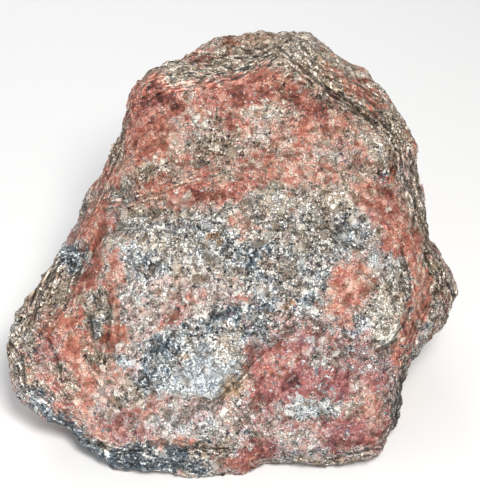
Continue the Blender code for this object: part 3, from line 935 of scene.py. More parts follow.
@dataclass(frozen=True)
class Ribbing(Step):
    """Runs the ribs and cracks along their lines, and faint ribs over the rest of the stone.

    Away from the broad face the ribs lie side by side along far_across and run along far_along. They rise
    with a slow field between far_levels, and a strand takes over from them where it shows by more than
    far_hold.
    """

    sway: Shift = Shift(26 * MM, 2.2)
    edge_power: int = 4
    edge_fall: float = 0.7
    far_ribs: float = 0.4
    far_size: float = 60 * MM
    far_octaves: int = 2
    far_levels: tuple[float, float] = (-0.1, 0.5)
    far_hold: float = 0.5
    far_across: tuple[float, float, float] = (0.35, 0.25, 0.90)
    far_along: tuple[float, float, float] = (0.85, -0.50, -0.20)

    def strands(self, skin: Skin) -> np.ndarray:
        """Where the ribs and cracks run.

        Args:
            skin: The finished skin.

        Returns:
            Marks across, marks along, the ribs' strength and the crack's strength, for each point.
        """
        marks = self.sheet.marks(skin.places)
        share = self.face_share(skin)
        field = self.field(Draw.SWAY)
        across = (skin.places @ np.array(self.far_across)) / self.sheet.mark
        along = (skin.places @ np.array(self.far_along)) / self.sheet.mark
        level = field.fractal(skin.places, self.far_size, self.far_octaves)
        ribs = self.far_ribs * (1 - share) * ramp(level, *self.far_levels)
        crack = np.zeros(len(marks))
        strongest = self.far_hold * (1 - share)
        for strand in STRANDS:
            gap, run = distance_to_line(marks, strand.line)
            shown = share * np.exp(-((gap / strand.band) ** self.edge_power) * self.edge_fall)
            nearer = shown > strongest
            across = np.where(nearer, gap, across)
            along = np.where(nearer, run, along)
            ribs = np.where(nearer, strand.ribs * shown, ribs)
            crack = np.where(nearer, strand.crack * shown, crack)
            strongest = np.maximum(strongest, shown)
        across = across + self.sway.reach * field.smooth(skin.places, self.sway.size)
        return np.stack([across, along, ribs, crack], axis=1)


# ---- The stone ---------------------------------------------------


@dataclass(frozen=True)
class Hollowness:
    """How hollows are measured: by how many rounds of averaging, and what depth in metres counts as full."""

    fine_rounds: int = 4
    fine_depth: float = 0.25 * MM
    fine_blur: int = 2
    wide_rounds: int = 40
    wide_depth: float = 1.2 * MM
    share: float = 0.25

    def measure(self, skin: Skin) -> np.ndarray:
        """How hollow the skin is at each point, at two scales.

        Args:
            skin: The finished skin.

        Returns:
            From 0 on a crest, through 0.5 on a flat, to 1 in a crack.
        """
        normals = skin.normals()
        fine = self.depth(skin, normals, self.fine_rounds) / self.fine_depth
        wide = self.depth(skin, normals, self.wide_rounds) / self.wide_depth
        return np.clip(0.5 + self.share * skin.spread(fine, self.fine_blur) + self.share * wide, 0, 1)

    @staticmethod
    def depth(skin: Skin, normals: np.ndarray, rounds: int) -> np.ndarray:
        """How far each point lies below the average of the points around it, in metres."""
        return ((skin.spread(skin.places, rounds) - skin.places) * normals).sum(axis=1)


@dataclass
class Stone:
    """The whole rock: a fine skin cast from its solid, broken, and painted with its minerals."""

    solid: bpy.types.Object
    sheet: FaceSheet
    voxel: float = 1.6 * MM
    quick_voxel: float = 3.0 * MM
    weld: float = 0.01 * MM
    triangles: int = 196000
    ease_rounds: int = 5
    bed_height: float = 0.6 * MM

    def build(self) -> bpy.types.Object:
        """Casts, roughens and paints the skin.

        Returns:
            The finished stone, without its material.
        """
        stone = self.recast()
        skin = Skin(stone.data)
        skin.places = skin.spread(skin.places, self.ease_rounds)
        Breakage(self.sheet).roughen(skin, Zoning(self.sheet).mixture(skin)[:, GRIT])
        self.settle(skin)
        self.thin(stone)
        skin = Skin(stone.data)
        self.settle(skin)
        self.paint(skin)
        stone.data.shade_smooth()
        return stone

    def dress(self, stone: bpy.types.Object) -> None:
        """Gives the stone its granite."""
        stone.data.materials.clear()
        stone.data.materials.append(Granite().build())

    def recast(self) -> bpy.types.Object:
        """Casts a fine even mesh with the solid's shape.

        Returns:
            The new stone.
        """
        stone = bpy.data.objects.new("stone", self.solid.data.copy())
        bpy.context.scene.collection.objects.link(stone)
        weld = stone.modifiers.new("weld", "WELD")
        weld.merge_threshold = self.weld
        cast = stone.modifiers.new("cast", "REMESH")
        cast.mode = "VOXEL"
        cast.voxel_size = self.voxel
        self._apply(stone)
        LOG.info("cast: %d points", len(stone.data.vertices))
        return stone

    def thin(self, stone: bpy.types.Object) -> None:
        """Thins the mesh to its allowance, most where the skin is flat.

        Args:
            stone: The stone to thin.
        """
        triangles = sum(len(face.vertices) - 2 for face in stone.data.polygons)
        if triangles <= self.triangles:
            return
        thin = stone.modifiers.new("thin", "DECIMATE")
        thin.ratio = self.triangles / triangles
        self._apply(stone)
        LOG.info("thinned: %d faces", len(stone.data.polygons))

    @staticmethod
    def _apply(stone: bpy.types.Object) -> None:
        """Makes the modifiers' result the stone's own mesh.

        Args:
            stone: The stone, with its modifiers.
        """
        evaluated = stone.evaluated_get(bpy.context.evaluated_depsgraph_get())
        mesh = bpy.data.meshes.new_from_object(evaluated)
        stone.modifiers.clear()
        old = stone.data
        stone.data = mesh
        bpy.data.meshes.remove(old)

    def settle(self, skin: Skin) -> None:
        """Brings the skin to the solid's box, flattens it where the stone rests, and writes it to its mesh.

        Args:
            skin: The skin to settle.
        """
        low, high = (np.array(corner) for corner in CAD_BOUNDS)
        lowest, highest = skin.places.min(axis=0), skin.places.max(axis=0)
        lowest[2] = low[2]
        skin.places = low + (skin.places - lowest) * (high - low) / (highest - lowest)
        skin.places = np.clip(skin.places, low, high)
        bed = skin.places[:, 2] < self.bed_height
        skin.places[bed, 2] = 0.0
        skin.write()

    def paint(self, skin: Skin) -> None:
        """Stores each point's minerals, tones, hollows, grit and ribs on the mesh, for the granite to read.

        Args:
            skin: The finished skin.
        """
        mix = Zoning(self.sheet).mixture(skin)
        hollow = Hollowness().measure(skin)
        skin.paint("minerals", mix[:, MINERALS])
        skin.paint("tones", mix[:, TONES])
        # The hollows lay the granite's painted shade and dirt.
        # Only the first two are read. An attribute of this kind has to have four.
        skin.paint("hollows_and_grit", np.stack([hollow, mix[:, GRIT], hollow, hollow], axis=1))
        skin.paint("strands", Ribbing(self.sheet).strands(skin), bounded=False)


# ---- Shader nodes ------------------------------------------------

Socket = bpy.types.NodeSocket
Feed = Socket | float | tuple
Inputs = dict[str | int, Feed]
FLOAT, COLOUR, VECTOR = "NodeSocketFloat", "NodeSocketColor", "NodeSocketVector"


def tint(red: float, green: float, blue: float) -> Colour:
    """A colour from screen values of 0 to 255, as the linear values that the shader takes."""
    linear = [(part / 255 + 0.055) / 1.055 for part in (red, green, blue)]
    return (*(part**2.4 for part in linear), 1.0)


@dataclass(frozen=True)
class Rise:
    """A straight rise: the stretch of values that it reads, and what it gives at the two ends of it."""

    low: float
    high: float
    start: float = 0.0
    end: float = 1.0


@dataclass(frozen=True)
class Cloud:
    """Noise: how many swells to a unit of what it reads, how much detail they have, and how rough it is."""

    scale: float
    detail: float
    roughness: float = 0.5


class Bench:
    """Places shader nodes in one tree and joins them up."""

    def __init__(self, tree: bpy.types.NodeTree) -> None:
        """Takes the tree to work on."""
        self.tree = tree

    def add(self, kind: str, inputs: Inputs | None = None, **settings: object) -> bpy.types.Node:
        """Adds one node.

        Args:
            kind: The node's type name without its Shader prefix, or with it.
            inputs: Values or sockets by input name or number.
            **settings: The node's own settings.

        Returns:
            The node.
        """
        node = self.tree.nodes.new(kind if kind.startswith("Node") else "ShaderNode" + kind)
        for name, value in settings.items():
            setattr(node, name, value)
        for name, value in (inputs or {}).items():
            self.feed(node.inputs[name], value)
        return node

    def feed(self, socket: Socket, value: Feed) -> None:
        """Links a socket to an input, or sets the input's own value.

        Args:
            socket: The input.
            value: The socket or the value that it takes.
        """
        if isinstance(value, Socket):
            self.tree.links.new(value, socket)
        else:
            socket.default_value = value

    def math(self, operation: str, *values: Feed, clamp: bool = False) -> Socket:
        """A Math node's result."""
        node = self.add("Math", dict(enumerate(values)), operation=operation, use_clamp=clamp)
        return node.outputs[0]

    def vector(self, operation: str, *values: Feed, scale: Feed | None = None) -> Socket:
        """A Vector Math node's result. To scale a vector, it takes the factor as its scale."""
        inputs = dict(enumerate(values)) if scale is None else {0: values[0], "Scale": scale}
        return self.add("VectorMath", inputs, operation=operation).outputs[0]

    def times(self, *values: Feed) -> Socket:
        """Values multiplied together.

        Args:
            *values: Two sockets or numbers, or more.

        Returns:
            Their product.
        """
        product = values[0]
        for value in values[1:]:
            product = self.math("MULTIPLY", product, value)
        return product

    def lift(self, value: Feed, mask: Feed, amount: Feed, clamp: bool = False) -> Socket:
        """A value with an amount added where a mask is 1, and less where it is lower."""
        return self.math("MULTIPLY_ADD", mask, amount, value, clamp=clamp)

    def gain(self, value: Feed, mask: Feed, amount: Feed) -> Socket:
        """A value with an amount of itself added where a mask is 1, and less where it is lower."""
        return self.times(value, self.lift(1.0, mask, amount))

    def sway(self, value: Feed, lot: Feed, amount: Feed, clamp: bool = False) -> Socket:
        """A value moved either way by a lot from 0 to 1, by half the amount at most."""
        return self.lift(value, self.math("SUBTRACT", lot, 0.5), amount, clamp=clamp)

    def blend(self, share: Feed, low: Feed, high: Feed, mode: str = "MIX") -> Socket:
        """A colour mix of two colours by a share."""
        node = self.add("Mix", {0: share, 6: low, 7: high}, data_type="RGBA", blend_type=mode)
        return node.outputs[2]

    def span(self, value: Feed, rise: Rise, start: Feed | None = None) -> Socket:
        """A value stretched by a rise, and held at the rise's ends.

        Args:
            value: The value to stretch.
            rise: The stretch that is read, and what it gives.
            start: What stands in for the rise's own start, where that changes over the surface.

        Returns:
            The stretched value.
        """
        start = rise.start if start is None else start
        node = self.add("MapRange", {0: value, 1: rise.low, 2: rise.high, 3: start, 4: rise.end}, clamp=True)
        return node.outputs[0]

    def cloud(self, place: Feed, cloud: Cloud) -> bpy.types.Node:
        """A noise node that reads a place."""
        inputs = {"Vector": place, "Scale": cloud.scale, "Detail": cloud.detail, "Roughness": cloud.roughness}
        return self.add("TexNoise", inputs)

    def split(self, colour: Feed) -> tuple[Socket, ...]:
        """A colour's three parts."""
        node = self.add("SeparateColor", {0: colour})
        return tuple(node.outputs)

    def stops(self, share: Feed, stops: Stops) -> Socket:
        """A colour ramp's result.

        Args:
            share: Where to read the ramp, from 0 to 1.
            stops: Its places and colours, in order.

        Returns:
            The ramp's colour there.
        """
        node = self.add("ValToRGB", {0: share})
        marks = node.color_ramp.elements
        while len(marks) < len(stops):
            marks.new(0.5)
        for mark, (place, colour) in zip(marks, stops):
            mark.position = place
            mark.color = colour
        return node.outputs[0]


def node_group(
    name: str, inputs: dict[str, str], outputs: dict[str, str]
) -> tuple[bpy.types.NodeTree, Bench, bpy.types.Node, bpy.types.Node]:
    """An empty shader node group with named sockets.

    Args:
        name: The group's name.
        inputs: Socket kinds by name, such as NodeSocketFloat.
        outputs: The same for what comes out.

    Returns:
        The group, a bench in it, its input node and its output node.
    """
    group = bpy.data.node_groups.new(name, "ShaderNodeTree")
    for way, sockets in (("INPUT", inputs), ("OUTPUT", outputs)):
        for label, kind in sockets.items():
            group.interface.new_socket(label, in_out=way, socket_type=kind)
    bench = Bench(group)
    return group, bench, bench.add("NodeGroupInput"), bench.add("NodeGroupOutput")


# ---- Granite -----------------------------------------------------


@dataclass(frozen=True)
class Crystals:
    """Crystals packed side by side, with edges bent by a fringe a little finer than they are."""

    fringe_scale: float = 1.1
    fringe_detail: float = 2.0

    def group(self) -> bpy.types.NodeTree:
        """Makes the node group.

        Returns:
            A group that gives each crystal's random lot, and how far a point is from its middle and its edge.
        """
        group, bench, given, made = node_group(
            "crystals",
            {"Vector": VECTOR, "Size": FLOAT, "Ragged": FLOAT},
            {"Lot": COLOUR, "Reach": FLOAT, "Gap": FLOAT},
        )
        place, size, ragged = (given.outputs[label] for label in ("Vector", "Size", "Ragged"))
        scale = bench.math("DIVIDE", 1.0, size)
        finer = bench.times(scale, self.fringe_scale)
        fringe = bench.add("TexNoise", {"Vector": place, "Scale": finer, "Detail": self.fringe_detail})
        centred = bench.vector("SUBTRACT", fringe.outputs["Color"], (0.5, 0.5, 0.5))
        bent = bench.vector("ADD", place, bench.vector("SCALE", centred, scale=bench.times(size, ragged)))
        inputs = {"Vector": bent, "Scale": scale, "Randomness": 1.0}
        cells = bench.add("TexVoronoi", inputs)
        edges = bench.add("TexVoronoi", inputs, feature="DISTANCE_TO_EDGE")
        bench.feed(made.inputs["Lot"], cells.outputs["Color"])
        bench.feed(made.inputs["Reach"], cells.outputs["Distance"])
        bench.feed(made.inputs["Gap"], edges.outputs["Distance"])
        return group


@dataclass(frozen=True)
class MineralColours:
    """The minerals' colours. The feldspars run from palest to deepest, and the others from dark to light."""

    feldspar_warm: Stops = (
        (0.0, tint(240, 214, 198)), (0.25, tint(218, 168, 148)), (0.5, tint(192, 122, 102)),
        (0.75, tint(150, 86, 72)), (1.0, tint(98, 58, 50)),
    )
    feldspar_cool: Stops = (
        (0.0, tint(234, 212, 208)), (0.25, tint(206, 162, 158)), (0.5, tint(176, 116, 116)),
        (0.75, tint(138, 82, 86)), (1.0, tint(90, 56, 62)),
    )
    plagioclase_warm: Stops = (
        (0.0, tint(150, 134, 112)), (0.45, tint(204, 188, 166)), (1.0, tint(252, 245, 232)),
    )
    plagioclase_cool: Stops = (
        (0.0, tint(156, 167, 176)), (0.45, tint(206, 217, 226)), (1.0, tint(246, 252, 255)),
    )
    quartz_warm: Stops = ((0.0, tint(88, 76, 62)), (1.0, tint(164, 150, 128)))
    quartz_cool: Stops = ((0.0, tint(86, 99, 110)), (1.0, tint(148, 162, 171)))
    mica_warm: Stops = ((0.0, tint(34, 28, 24)), (1.0, tint(88, 76, 66)))
    mica_cool: Stops = ((0.0, tint(33, 39, 46)), (1.0, tint(84, 96, 107)))
    ochre: Colour = tint(206, 142, 72)
    rust: Colour = tint(132, 62, 38)
    # Soil, and the tint of the painted shade and dirt in the hollows.
    soil: Colour = tint(128, 108, 82)


@dataclass(frozen=True)
class Minerals:
    """How a crystal gets its mineral and its colour from its lot, the slow drift and its zone's values."""

    colours: MineralColours = MineralColours()
    cool_by_drift: float = 0.9
    cool_by_lot: float = 0.5
    depth_by_drift: float = 1.6
    depth_by_lot: float = 0.44
    pink_by_drift: float = 0.9
    pink_by_lot: float = 0.28
    odd_share: float = 0.10
    odd_pink: float = -0.30
    pink: Rise = Rise(0.19, 0.63)
    least_rest: float = 0.01
    stain_tint: float = 0.85
    stain_cover: float = 0.45
    stain: Rise = Rise(0.0, 0.6, 0.35, 1.0)

    def group(self) -> bpy.types.NodeTree:
        """Makes the node group.

        Returns:
            A group that gives a crystal's colour.
        """
        group, bench, given, made = node_group(
            "mineral",
            {"Lot": COLOUR, "Drift": COLOUR, "Minerals": COLOUR, "Iron": FLOAT, "Tones": COLOUR},
            {"Color": COLOUR},
        )
        pick, shade, whim = bench.split(given.outputs["Lot"])
        swing, deepen, turn = bench.split(given.outputs["Drift"])
        feldspar, plagioclase, quartz = bench.split(given.outputs["Minerals"])
        depth, cool, _ = bench.split(given.outputs["Tones"])
        cool = bench.sway(cool, turn, self.cool_by_drift)
        cool = bench.sway(cool, whim, self.cool_by_lot, clamp=True)
        depth = bench.sway(depth, deepen, self.depth_by_drift)
        depth = bench.sway(depth, shade, self.depth_by_lot, clamp=True)
        colours = self.colours
        pink = self.warm_to_cool(bench, cool, depth, colours.feldspar_warm, colours.feldspar_cool)
        white = self.warm_to_cool(bench, cool, shade, colours.plagioclase_warm, colours.plagioclase_cool)
        grey = self.warm_to_cool(bench, cool, shade, colours.quartz_warm, colours.quartz_cool)
        black = self.warm_to_cool(bench, cool, shade, colours.mica_warm, colours.mica_cool)
        rest = bench.math("MAXIMUM", bench.math("SUBTRACT", 1.0, feldspar), self.least_rest)
        first = bench.math("DIVIDE", plagioclase, rest)
        second = bench.math("DIVIDE", bench.math("ADD", plagioclase, quartz), rest)
        greys = bench.blend(bench.math("GREATER_THAN", whim, first), white, grey)
        greys = bench.blend(bench.math("GREATER_THAN", whim, second), greys, black)
        lean = bench.sway(feldspar, swing, self.pink_by_drift)
        lean = bench.sway(lean, pick, self.pink_by_lot)
        lean = bench.lift(lean, bench.math("LESS_THAN", pick, self.odd_share), self.odd_pink)
        colour = bench.blend(bench.span(lean, self.pink), greys, pink)
        stain = bench.blend(depth, colours.ochre, colours.rust)
        stained = bench.blend(self.stain_tint, colour, stain, "MULTIPLY")
        stained = bench.blend(self.stain_cover, stained, stain)
        amount = bench.times(given.outputs["Iron"], bench.span(pick, self.stain))
        bench.feed(made.inputs["Color"], bench.blend(amount, colour, stained))
        return group

    @staticmethod
    def warm_to_cool(bench: Bench, cool: Feed, shade: Feed, warm_stops: Stops, cool_stops: Stops) -> Socket:
        """One mineral's colour, by how cool and of what shade it is."""
        return bench.blend(cool, bench.stops(shade, warm_stops), bench.stops(shade, cool_stops))


@dataclass(frozen=True)
class Packing:
    """Crystals of one size: how wide they are, in metres, and how ragged their edges are."""

    size: float
    ragged: float


class Cells:
    """Crystals of one size in the granite: each one's random lots, and where a point is in it."""

    def __init__(self, bench: Bench, group: bpy.types.NodeTree, place: Socket, packing: Packing) -> None:
        """Places the crystals.

        Args:
            bench: The bench to work on.
            group: The crystals' node group.
            place: The point that they are read at.
            packing: Their size.
        """
        inputs = {"Vector": place, "Size": packing.size, "Ragged": packing.ragged}
        node = bench.add("Group", inputs, node_tree=group)
        self.lot = node.outputs["Lot"]
        self.lots = bench.split(self.lot)
        self.reach = node.outputs["Reach"]
        self.gap = node.outputs["Gap"]


@dataclass(frozen=True)
class Granite:
    """The stone's finish: crystals of three sizes, grit, cracks and ribs, painted shade and dirt in the
    hollows, a dry surface.

    A share is the part of the crystals that a mask picks by their random lots. Grit, seams, cracks and ribs
    all work on one number, the light, and the crystals' colour is multiplied by it, which paints light and
    shade into the colour: the seams darken the grain boundaries and paint shade in the gaps between grains,
    the holes, pinholes and cracks paint shade in pits and cracks, the crumbs are pale bits with painted
    glints, and the ribs paint light and shade that is partly their real banding. Heights are in parts of
    bump.
    """

    minerals: Minerals = Minerals()
    crystal: Packing = Packing(6.5 * MM, 0.9)
    grain: Packing = Packing(2.7 * MM, 1.1)
    speck: Packing = Packing(1.35 * MM, 0.8)
    drift: Cloud = Cloud(100.0, 3.0, 0.6)
    crystal_share: float = 0.36
    speck_share: float = 0.22
    speck_cover: float = 0.8
    speck_on_crystal: float = -0.7

    # The holes and pinholes paint shade in pits into the colour.
    hole_share: float = 0.16
    hole_reach: Rise = Rise(0.18, 0.42, 1.0, 0.0)
    # The crumbs are pale bits of crystal with painted glints on them.
    crumb_from: float = 0.70
    pin_share: float = 0.25
    dot_reach: Rise = Rise(0.3, 0.6, 1.0, 0.0)
    grit: Cloud = Cloud(900.0, 2.0, 0.7)
    grit_light: Rise = Rise(0.38, 0.62, 0.24, 1.70)
    # The seams darken the grain boundaries and paint shade in the gaps between grains, and the cracks paint
    # shade round the big crystals.
    seam_width: Rise = Rise(0.34, 0.62, 0.19, 0.03)
    seam_light: Rise = Rise(0.1, 1.0)
    seam_light_by_grit: Rise = Rise(0.3, 0.8, 0.62, 0.28)
    crack_light: Rise = Rise(0.12, 0.5, 0.22, 1.0)
    grain_light: Rise = Rise(0.0, 1.0, 0.90, 1.12)
    hole_dark: float = -0.75
    pin_dark: float = -0.65
    crumb_bright: float = 0.50
    clean_middle: float = 0.94
    clean_crystal: float = -0.6

    # The ribs paint light and shade across their relief, partly their real banding, and the splits paint
    # shade in the cracks along them.
    rib_width: float = 2.4
    rib_length: float = 13.0
    rib: Cloud = Cloud(1.0, 1.0)
    rib_light: Rise = Rise(0.37, 0.53, -0.84, 0.66)
    split_width: Rise = Rise(0.5, 1.9, 1.0, 0.0)
    split_broken: Rise = Rise(0.34, 0.5, 0.25, 1.0)
    split_dark: float = -0.85

    contrast: Rise = Rise(0.0, 1.0, 0.36, 1.10)
    contrast_middle: float = 0.86
    light_middle: float = 0.94
    least_light: float = 0.08
    # Painted shade and dirt in the hollows, in the soil colour: where it starts and is full, how far it
    # covers, and how strongly it tints.
    hollow: Rise = Rise(0.52, 0.9)
    dirt_and_shade_cover: float = 0.75
    dirt_and_shade_tint: float = 0.8
    soil_tint: float = 0.6

    roughness: Rise = Rise(0.0, 1.0, 0.56, 0.92)
    specular: float = 0.35
    groove: Rise = Rise(0.0, 0.22)
    groove_height: float = 0.5
    grain_height: float = 0.55
    crumb_height: float = 0.5
    hole_height: float = -0.6
    grit_height: float = 0.6
    rib_height: float = 0.8
    split_height: float = -1.0
    strength_least: float = 0.5
    strength_by_grit: float = 0.5
    bump: float = 1.4 * MM

    def build(self) -> bpy.types.Material:
        """Makes the material.

        Returns:
            The granite, ready for the stone.
        """
        material = bpy.data.materials.new("granite_skin")
        material.use_nodes = True
        shader = material.node_tree.nodes["Principled BSDF"]
        shader.inputs["Specular IOR Level"].default_value = self.specular
        GraniteNodes(self, material.node_tree).lay(shader)
        return material


class GraniteNodes:
    """The granite's nodes in its material. Each method lays one effect, and gives the sockets it ends in."""

    def __init__(self, finish: Granite, tree: bpy.types.NodeTree) -> None:
        """Reads the skin's paint, and lays the crystals that every effect shares.

        Args:
            finish: The granite's values.
            tree: The material's node tree.
        """
        self.finish = finish
        self.bench = bench = Bench(tree)
        self.place = bench.add("TexCoord").outputs["Object"]
        paints = ("minerals", "tones", "hollows_and_grit", "strands")
        self.minerals, self.tones, hollows_and_grit, strands = (
            bench.add("Attribute", attribute_name=name).outputs for name in paints
        )
        # The hollows drive the painted shade and dirt in them.
        self.hollow, self.grit, _ = bench.split(hollows_and_grit["Color"])
        self.across, self.along, self.ribbed = bench.split(strands["Color"])
        self.cracked = strands["Alpha"]
        self.soil = bench.split(self.tones["Color"])[2]
        crystals = Crystals().group()
        sizes = (finish.crystal, finish.grain, finish.speck)
        self.crystal, self.grain, self.speck = (Cells(bench, crystals, self.place, size) for size in sizes)
        self.drift = bench.cloud(self.place, finish.drift).outputs["Color"]
        share = bench.times(self.tones["Alpha"], finish.crystal_share)
        self.big = bench.math("LESS_THAN", self.crystal.lots[2], share)

    def lay(self, shader: bpy.types.Node) -> None:
        """Lays every effect and feeds the shader.

        Args:
            shader: The material's Principled BSDF.
        """
        bench, finish = self.bench, self.finish
        hole, pin, crumb = self.dots()
        ribs, split = self.ribs()
        grit = bench.cloud(self.place, finish.grit).outputs["Fac"]
        light = self.grit_light(bench.span(grit, finish.grit_light), hole, pin, crumb)
        # The ribs paint light and shade into the colour, and the splits paint shade in the cracks.
        light = bench.gain(light, ribs, self.ribbed)
        light = bench.gain(light, split, finish.split_dark)
        colour = bench.vector("SCALE", self.rock(), scale=self.contrast(light))
        bench.feed(shader.inputs["Base Color"], self.shaded_and_soiled(colour))
        bench.feed(shader.inputs["Roughness"], bench.span(self.grain.lots[1], finish.roughness))
        raised = (
            (crumb, finish.crumb_height),
            (hole, finish.hole_height),
            (grit, finish.grit_height),
            (bench.times(ribs, self.ribbed), finish.rib_height),
            (split, finish.split_height),
        )
        bench.feed(shader.inputs["Normal"], self.relief(raised))

    def relief(self, raised: tuple[tuple[Socket, float], ...]) -> Socket:
        """Raises and sinks the surface, over grains of random heights with grooves between them.

        Args:
            raised: Masks, and how far each one raises the surface.

        Returns:
            The bumped normal.
        """
        bench, finish = self.bench, self.finish
        height = bench.times(self.grain.lots[2], finish.grain_height)
        height = bench.lift(height, bench.span(self.grain.gap, finish.groove), finish.groove_height)
        for mask, amount in raised:
            height = bench.lift(height, mask, amount)
        strength = bench.lift(finish.strength_least, self.grit, finish.strength_by_grit)
        bump = bench.add("Bump", {"Strength": strength, "Distance": finish.bump, "Height": height})
        return bump.outputs[0]

    def rock(self) -> Socket:
        """Lays big crystals among grains, with specks scattered over both.

        Returns:
            The crystals' colour.
        """
        bench, finish = self.bench, self.finish
        lot = bench.blend(self.big, self.grain.lot, self.crystal.lot)
        fine = bench.math("LESS_THAN", self.speck.lots[2], finish.speck_share)
        fine = bench.times(fine, bench.lift(finish.speck_cover, self.big, finish.speck_on_crystal))
        inputs = {
            "Lot": bench.blend(fine, lot, self.speck.lot),
            "Drift": self.drift,
            "Minerals": self.minerals["Color"],
            "Iron": self.minerals["Alpha"],
            "Tones": self.tones["Color"],
        }
        return bench.add("Group", inputs, node_tree=finish.minerals.group()).outputs["Color"]

    def dots(self) -> tuple[Socket, Socket, Socket]:
        """Picks the dots in the grit.

        Returns:
            Masks of dark holes in grains and of dark pinholes, which paint shade in pits, and of bright
            crumbs, pale bits with painted glints.
        """
        bench, finish = self.bench, self.finish
        hole = bench.math("LESS_THAN", self.grain.lots[0], finish.hole_share)
        hole = bench.times(hole, bench.span(self.grain.reach, finish.hole_reach))
        dot = bench.span(self.speck.reach, finish.dot_reach)
        pin = bench.times(bench.math("LESS_THAN", self.speck.lots[0], finish.pin_share), dot)
        crumb = bench.times(bench.math("GREATER_THAN", self.speck.lots[0], finish.crumb_from), dot)
        return hole, pin, crumb

    def grit_light(self, light: Socket, hole: Socket, pin: Socket, crumb: Socket) -> Socket:
        """Works the grit's light, which is painted into the colour: dark seams between grains, partly painted
        shade in the gaps, dots, and painted shade in the cracks round the big crystals.

        Args:
            light: The grit's own light and dark.
            hole: The mask of holes.
            pin: The mask of pinholes.
            crumb: The mask of crumbs.

        Returns:
            What the grit multiplies the colour by. It is calmer on the big crystals.
        """
        bench, finish = self.bench, self.finish
        # Dark grain boundaries with painted shade in the gaps, and painted shade in the cracks round the big
        # crystals.
        width = bench.span(bench.split(self.drift)[1], finish.seam_width)
        seam_start = bench.span(self.grit, finish.seam_light_by_grit)
        seam = bench.span(bench.math("DIVIDE", self.grain.gap, width), finish.seam_light, seam_start)
        crack = bench.span(bench.math("DIVIDE", self.crystal.gap, width), finish.crack_light)
        light = bench.times(light, seam, bench.span(self.grain.lots[1], finish.grain_light))
        # Painted shade in the holes and pinholes.
        light = bench.gain(light, hole, finish.hole_dark)
        light = bench.gain(light, pin, finish.pin_dark)
        # Pale crumbs with painted glints.
        light = bench.lift(light, crumb, finish.crumb_bright)
        clean = bench.lift(1.0, self.big, finish.clean_crystal)
        middle = finish.clean_middle
        light = bench.lift(middle, bench.math("SUBTRACT", light, middle), clean)
        return bench.times(light, crack)

    def ribs(self) -> tuple[Socket, Socket]:
        """Runs long streaks along the strands' lines.

        Returns:
            The ribs' light and dark, painted light and shade that is partly their real banding, and the mask
            of the cracks along them, which paint shade in the cracks.
        """
        bench, finish = self.bench, self.finish
        course = {
            0: bench.math("DIVIDE", self.across, finish.rib_width),
            1: bench.math("DIVIDE", self.along, finish.rib_length),
        }
        streaks = bench.cloud(bench.add("CombineXYZ", course).outputs[0], finish.rib).outputs["Fac"]
        split = bench.span(bench.math("ABSOLUTE", self.across), finish.split_width)
        split = bench.times(split, bench.span(streaks, finish.split_broken), self.cracked)
        return bench.span(streaks, finish.rib_light), split

    def contrast(self, light: Socket) -> Socket:
        """Gives the light more contrast in gritty zones and less in clean ones.

        Args:
            light: The light.

        Returns:
            The light for the colour. It is never quite black.
        """
        bench, finish = self.bench, self.finish
        much = bench.span(self.grit, finish.contrast)
        light = bench.lift(finish.light_middle, bench.math("SUBTRACT", light, finish.contrast_middle), much)
        return bench.math("MAXIMUM", light, finish.least_light)

    def shaded_and_soiled(self, colour: Socket) -> Socket:
        """Lays painted shade and dirt in the hollows, tinted with the soil colour, and soil over the zones
        that have it.

        Args:
            colour: The clean colour.

        Returns:
            The colour with its painted shade, dirt and soil.
        """
        bench, finish = self.bench, self.finish
        # Painted shade and dirt in the hollows, darker the deeper they are, tinted with the soil colour.
        dirt_and_shade = bench.times(bench.span(self.hollow, finish.hollow), finish.dirt_and_shade_cover)
        for share, strength in ((dirt_and_shade, finish.dirt_and_shade_tint), (self.soil, finish.soil_tint)):
            shaded_and_soiled = bench.blend(strength, colour, finish.minerals.colours.soil, "MULTIPLY")
            colour = bench.blend(share, colour, shaded_and_soiled)
        return colour


# ---- The studio --------------------------------------------------


@dataclass(frozen=True)
class FloorFinish:
    """The plain matt floor, pale and very slightly clouded."""

    colour: Colour = tint(240, 240, 240)
    cloud: Cloud = Cloud(2.0, 2.0)
    darkest: float = 0.985
    roughness: float = 0.9
    specular: float = 0.1

    def build(self) -> bpy.types.Material:
        """Makes the material.

        Returns:
            The finish, ready for the floor.
        """
        material = bpy.data.materials.new("pale_floor")
        material.use_nodes = True
        bench = Bench(material.node_tree)
        shader = material.node_tree.nodes["Principled BSDF"]
        share = bench.cloud(bench.add("TexCoord").outputs["Object"], self.cloud).outputs["Fac"]
        low = tuple(part * self.darkest for part in self.colour[:3]) + (1.0,)
        bench.feed(shader.inputs["Base Color"], bench.blend(share, low, self.colour))
        shader.inputs["Roughness"].default_value = self.roughness
        shader.inputs["Specular IOR Level"].default_value = self.specular
        return material


@dataclass(frozen=True)
class Lamp:
    """One soft square light: where it hangs, its side, power and colour."""

    name: str
    place: tuple[float, float, float]
    side: float
    power: float
    colour: tuple[float, float, float]


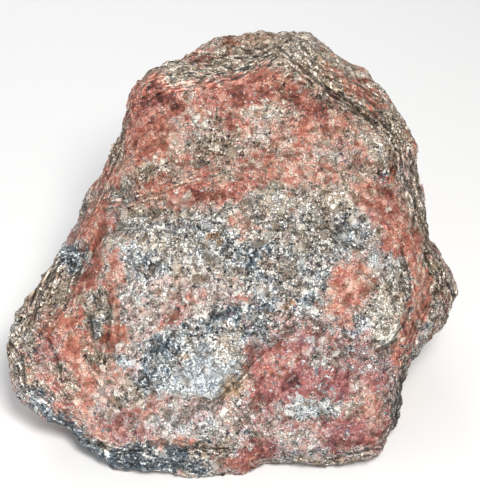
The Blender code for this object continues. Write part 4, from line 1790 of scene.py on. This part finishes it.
@dataclass
class Studio:
    """A pale floor, soft lights and the camera at the standing point."""

    sheet: FaceSheet
    floor_side: float = 12.0
    sensor: float = 36.0
    nearest: float = 0.05
    sky: float = 0.32
    sky_colour: Colour = (0.96, 0.98, 1.0, 1.0)
    lamps: tuple[Lamp, ...] = (
        Lamp("key", (0.3, -1.45, 1.75), 0.5, 52.0, (1.0, 0.98, 0.95)),
        Lamp("fill", (-1.5, -1.4, 0.5), 1.2, 8.0, (0.78, 0.88, 1.0)),
        Lamp("rim", (-0.6, 1.6, 1.6), 1.4, 18.0, (1.0, 1.0, 1.0)),
    )

    def build(self) -> None:
        """Sets up the floor, the lights, the sky and the camera."""
        self.floor()
        for lamp in self.lamps:
            self.light(lamp)
        self.backdrop()
        self.camera()

    def floor(self) -> None:
        """Lays the floor."""
        half = self.floor_side / 2
        corners = [(-half, -half, 0), (half, -half, 0), (half, half, 0), (-half, half, 0)]
        mesh = bpy.data.meshes.new("floor")
        mesh.from_pydata(corners, [], [(0, 1, 2, 3)])
        floor = bpy.data.objects.new("floor", mesh)
        bpy.context.scene.collection.objects.link(floor)
        mesh.materials.append(FloorFinish().build())
        LOG.info("floor: %.0f m square", self.floor_side)

    def put(self, thing: bpy.types.Object, place: Vector) -> None:
        """Puts a light or the camera in its place, turned to the middle of the sheet.

        Args:
            thing: The light or the camera.
            place: Where it goes, in metres.
        """
        thing.location = place
        thing.rotation_euler = (self.sheet.aim() - thing.location).to_track_quat("-Z", "Y").to_euler()
        bpy.context.scene.collection.objects.link(thing)

    def light(self, lamp: Lamp) -> None:
        """Hangs one light.

        Args:
            lamp: The light to hang.
        """
        data = bpy.data.lights.new(lamp.name, "AREA")
        data.size = lamp.side
        data.energy = lamp.power
        data.color = lamp.colour
        self.put(bpy.data.objects.new(lamp.name, data), Vector(lamp.place))
        LOG.info("light: %s", lamp.name)

    def backdrop(self) -> None:
        """Lights the room evenly."""
        world = bpy.data.worlds.new("room")
        world.use_nodes = True
        shade = world.node_tree.nodes["Background"]
        shade.inputs["Color"].default_value = self.sky_colour
        shade.inputs["Strength"].default_value = self.sky
        bpy.context.scene.world = world
        bpy.context.scene.view_settings.view_transform = "Standard"

    def camera(self) -> None:
        """Puts the camera at the standing point, so that the sheet's longer side fills the view."""
        data = bpy.data.cameras.new("camera")
        data.sensor_width = self.sensor
        data.lens = self.sensor * self.sheet.distance / (self.sheet.side * self.sheet.mark)
        data.clip_start = self.nearest
        camera = bpy.data.objects.new("camera", data)
        self.put(camera, self.sheet.standing_point())
        bpy.context.scene.camera = camera


def main() -> None:
    """Builds the studio and the stone, and writes down how large the stone is."""
    logging.basicConfig(level=logging.INFO, format="%(message)s")
    sheet = FaceSheet()
    Studio(sheet).build()
    rock = Stone(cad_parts[NODE], sheet)
    stone = rock.build()
    rock.dress(stone)
    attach(stone, BODY)
    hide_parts(NODE)
    LOG.info("stone: %d faces", len(stone.data.polygons))


if __name__ == "__main__":
    main()
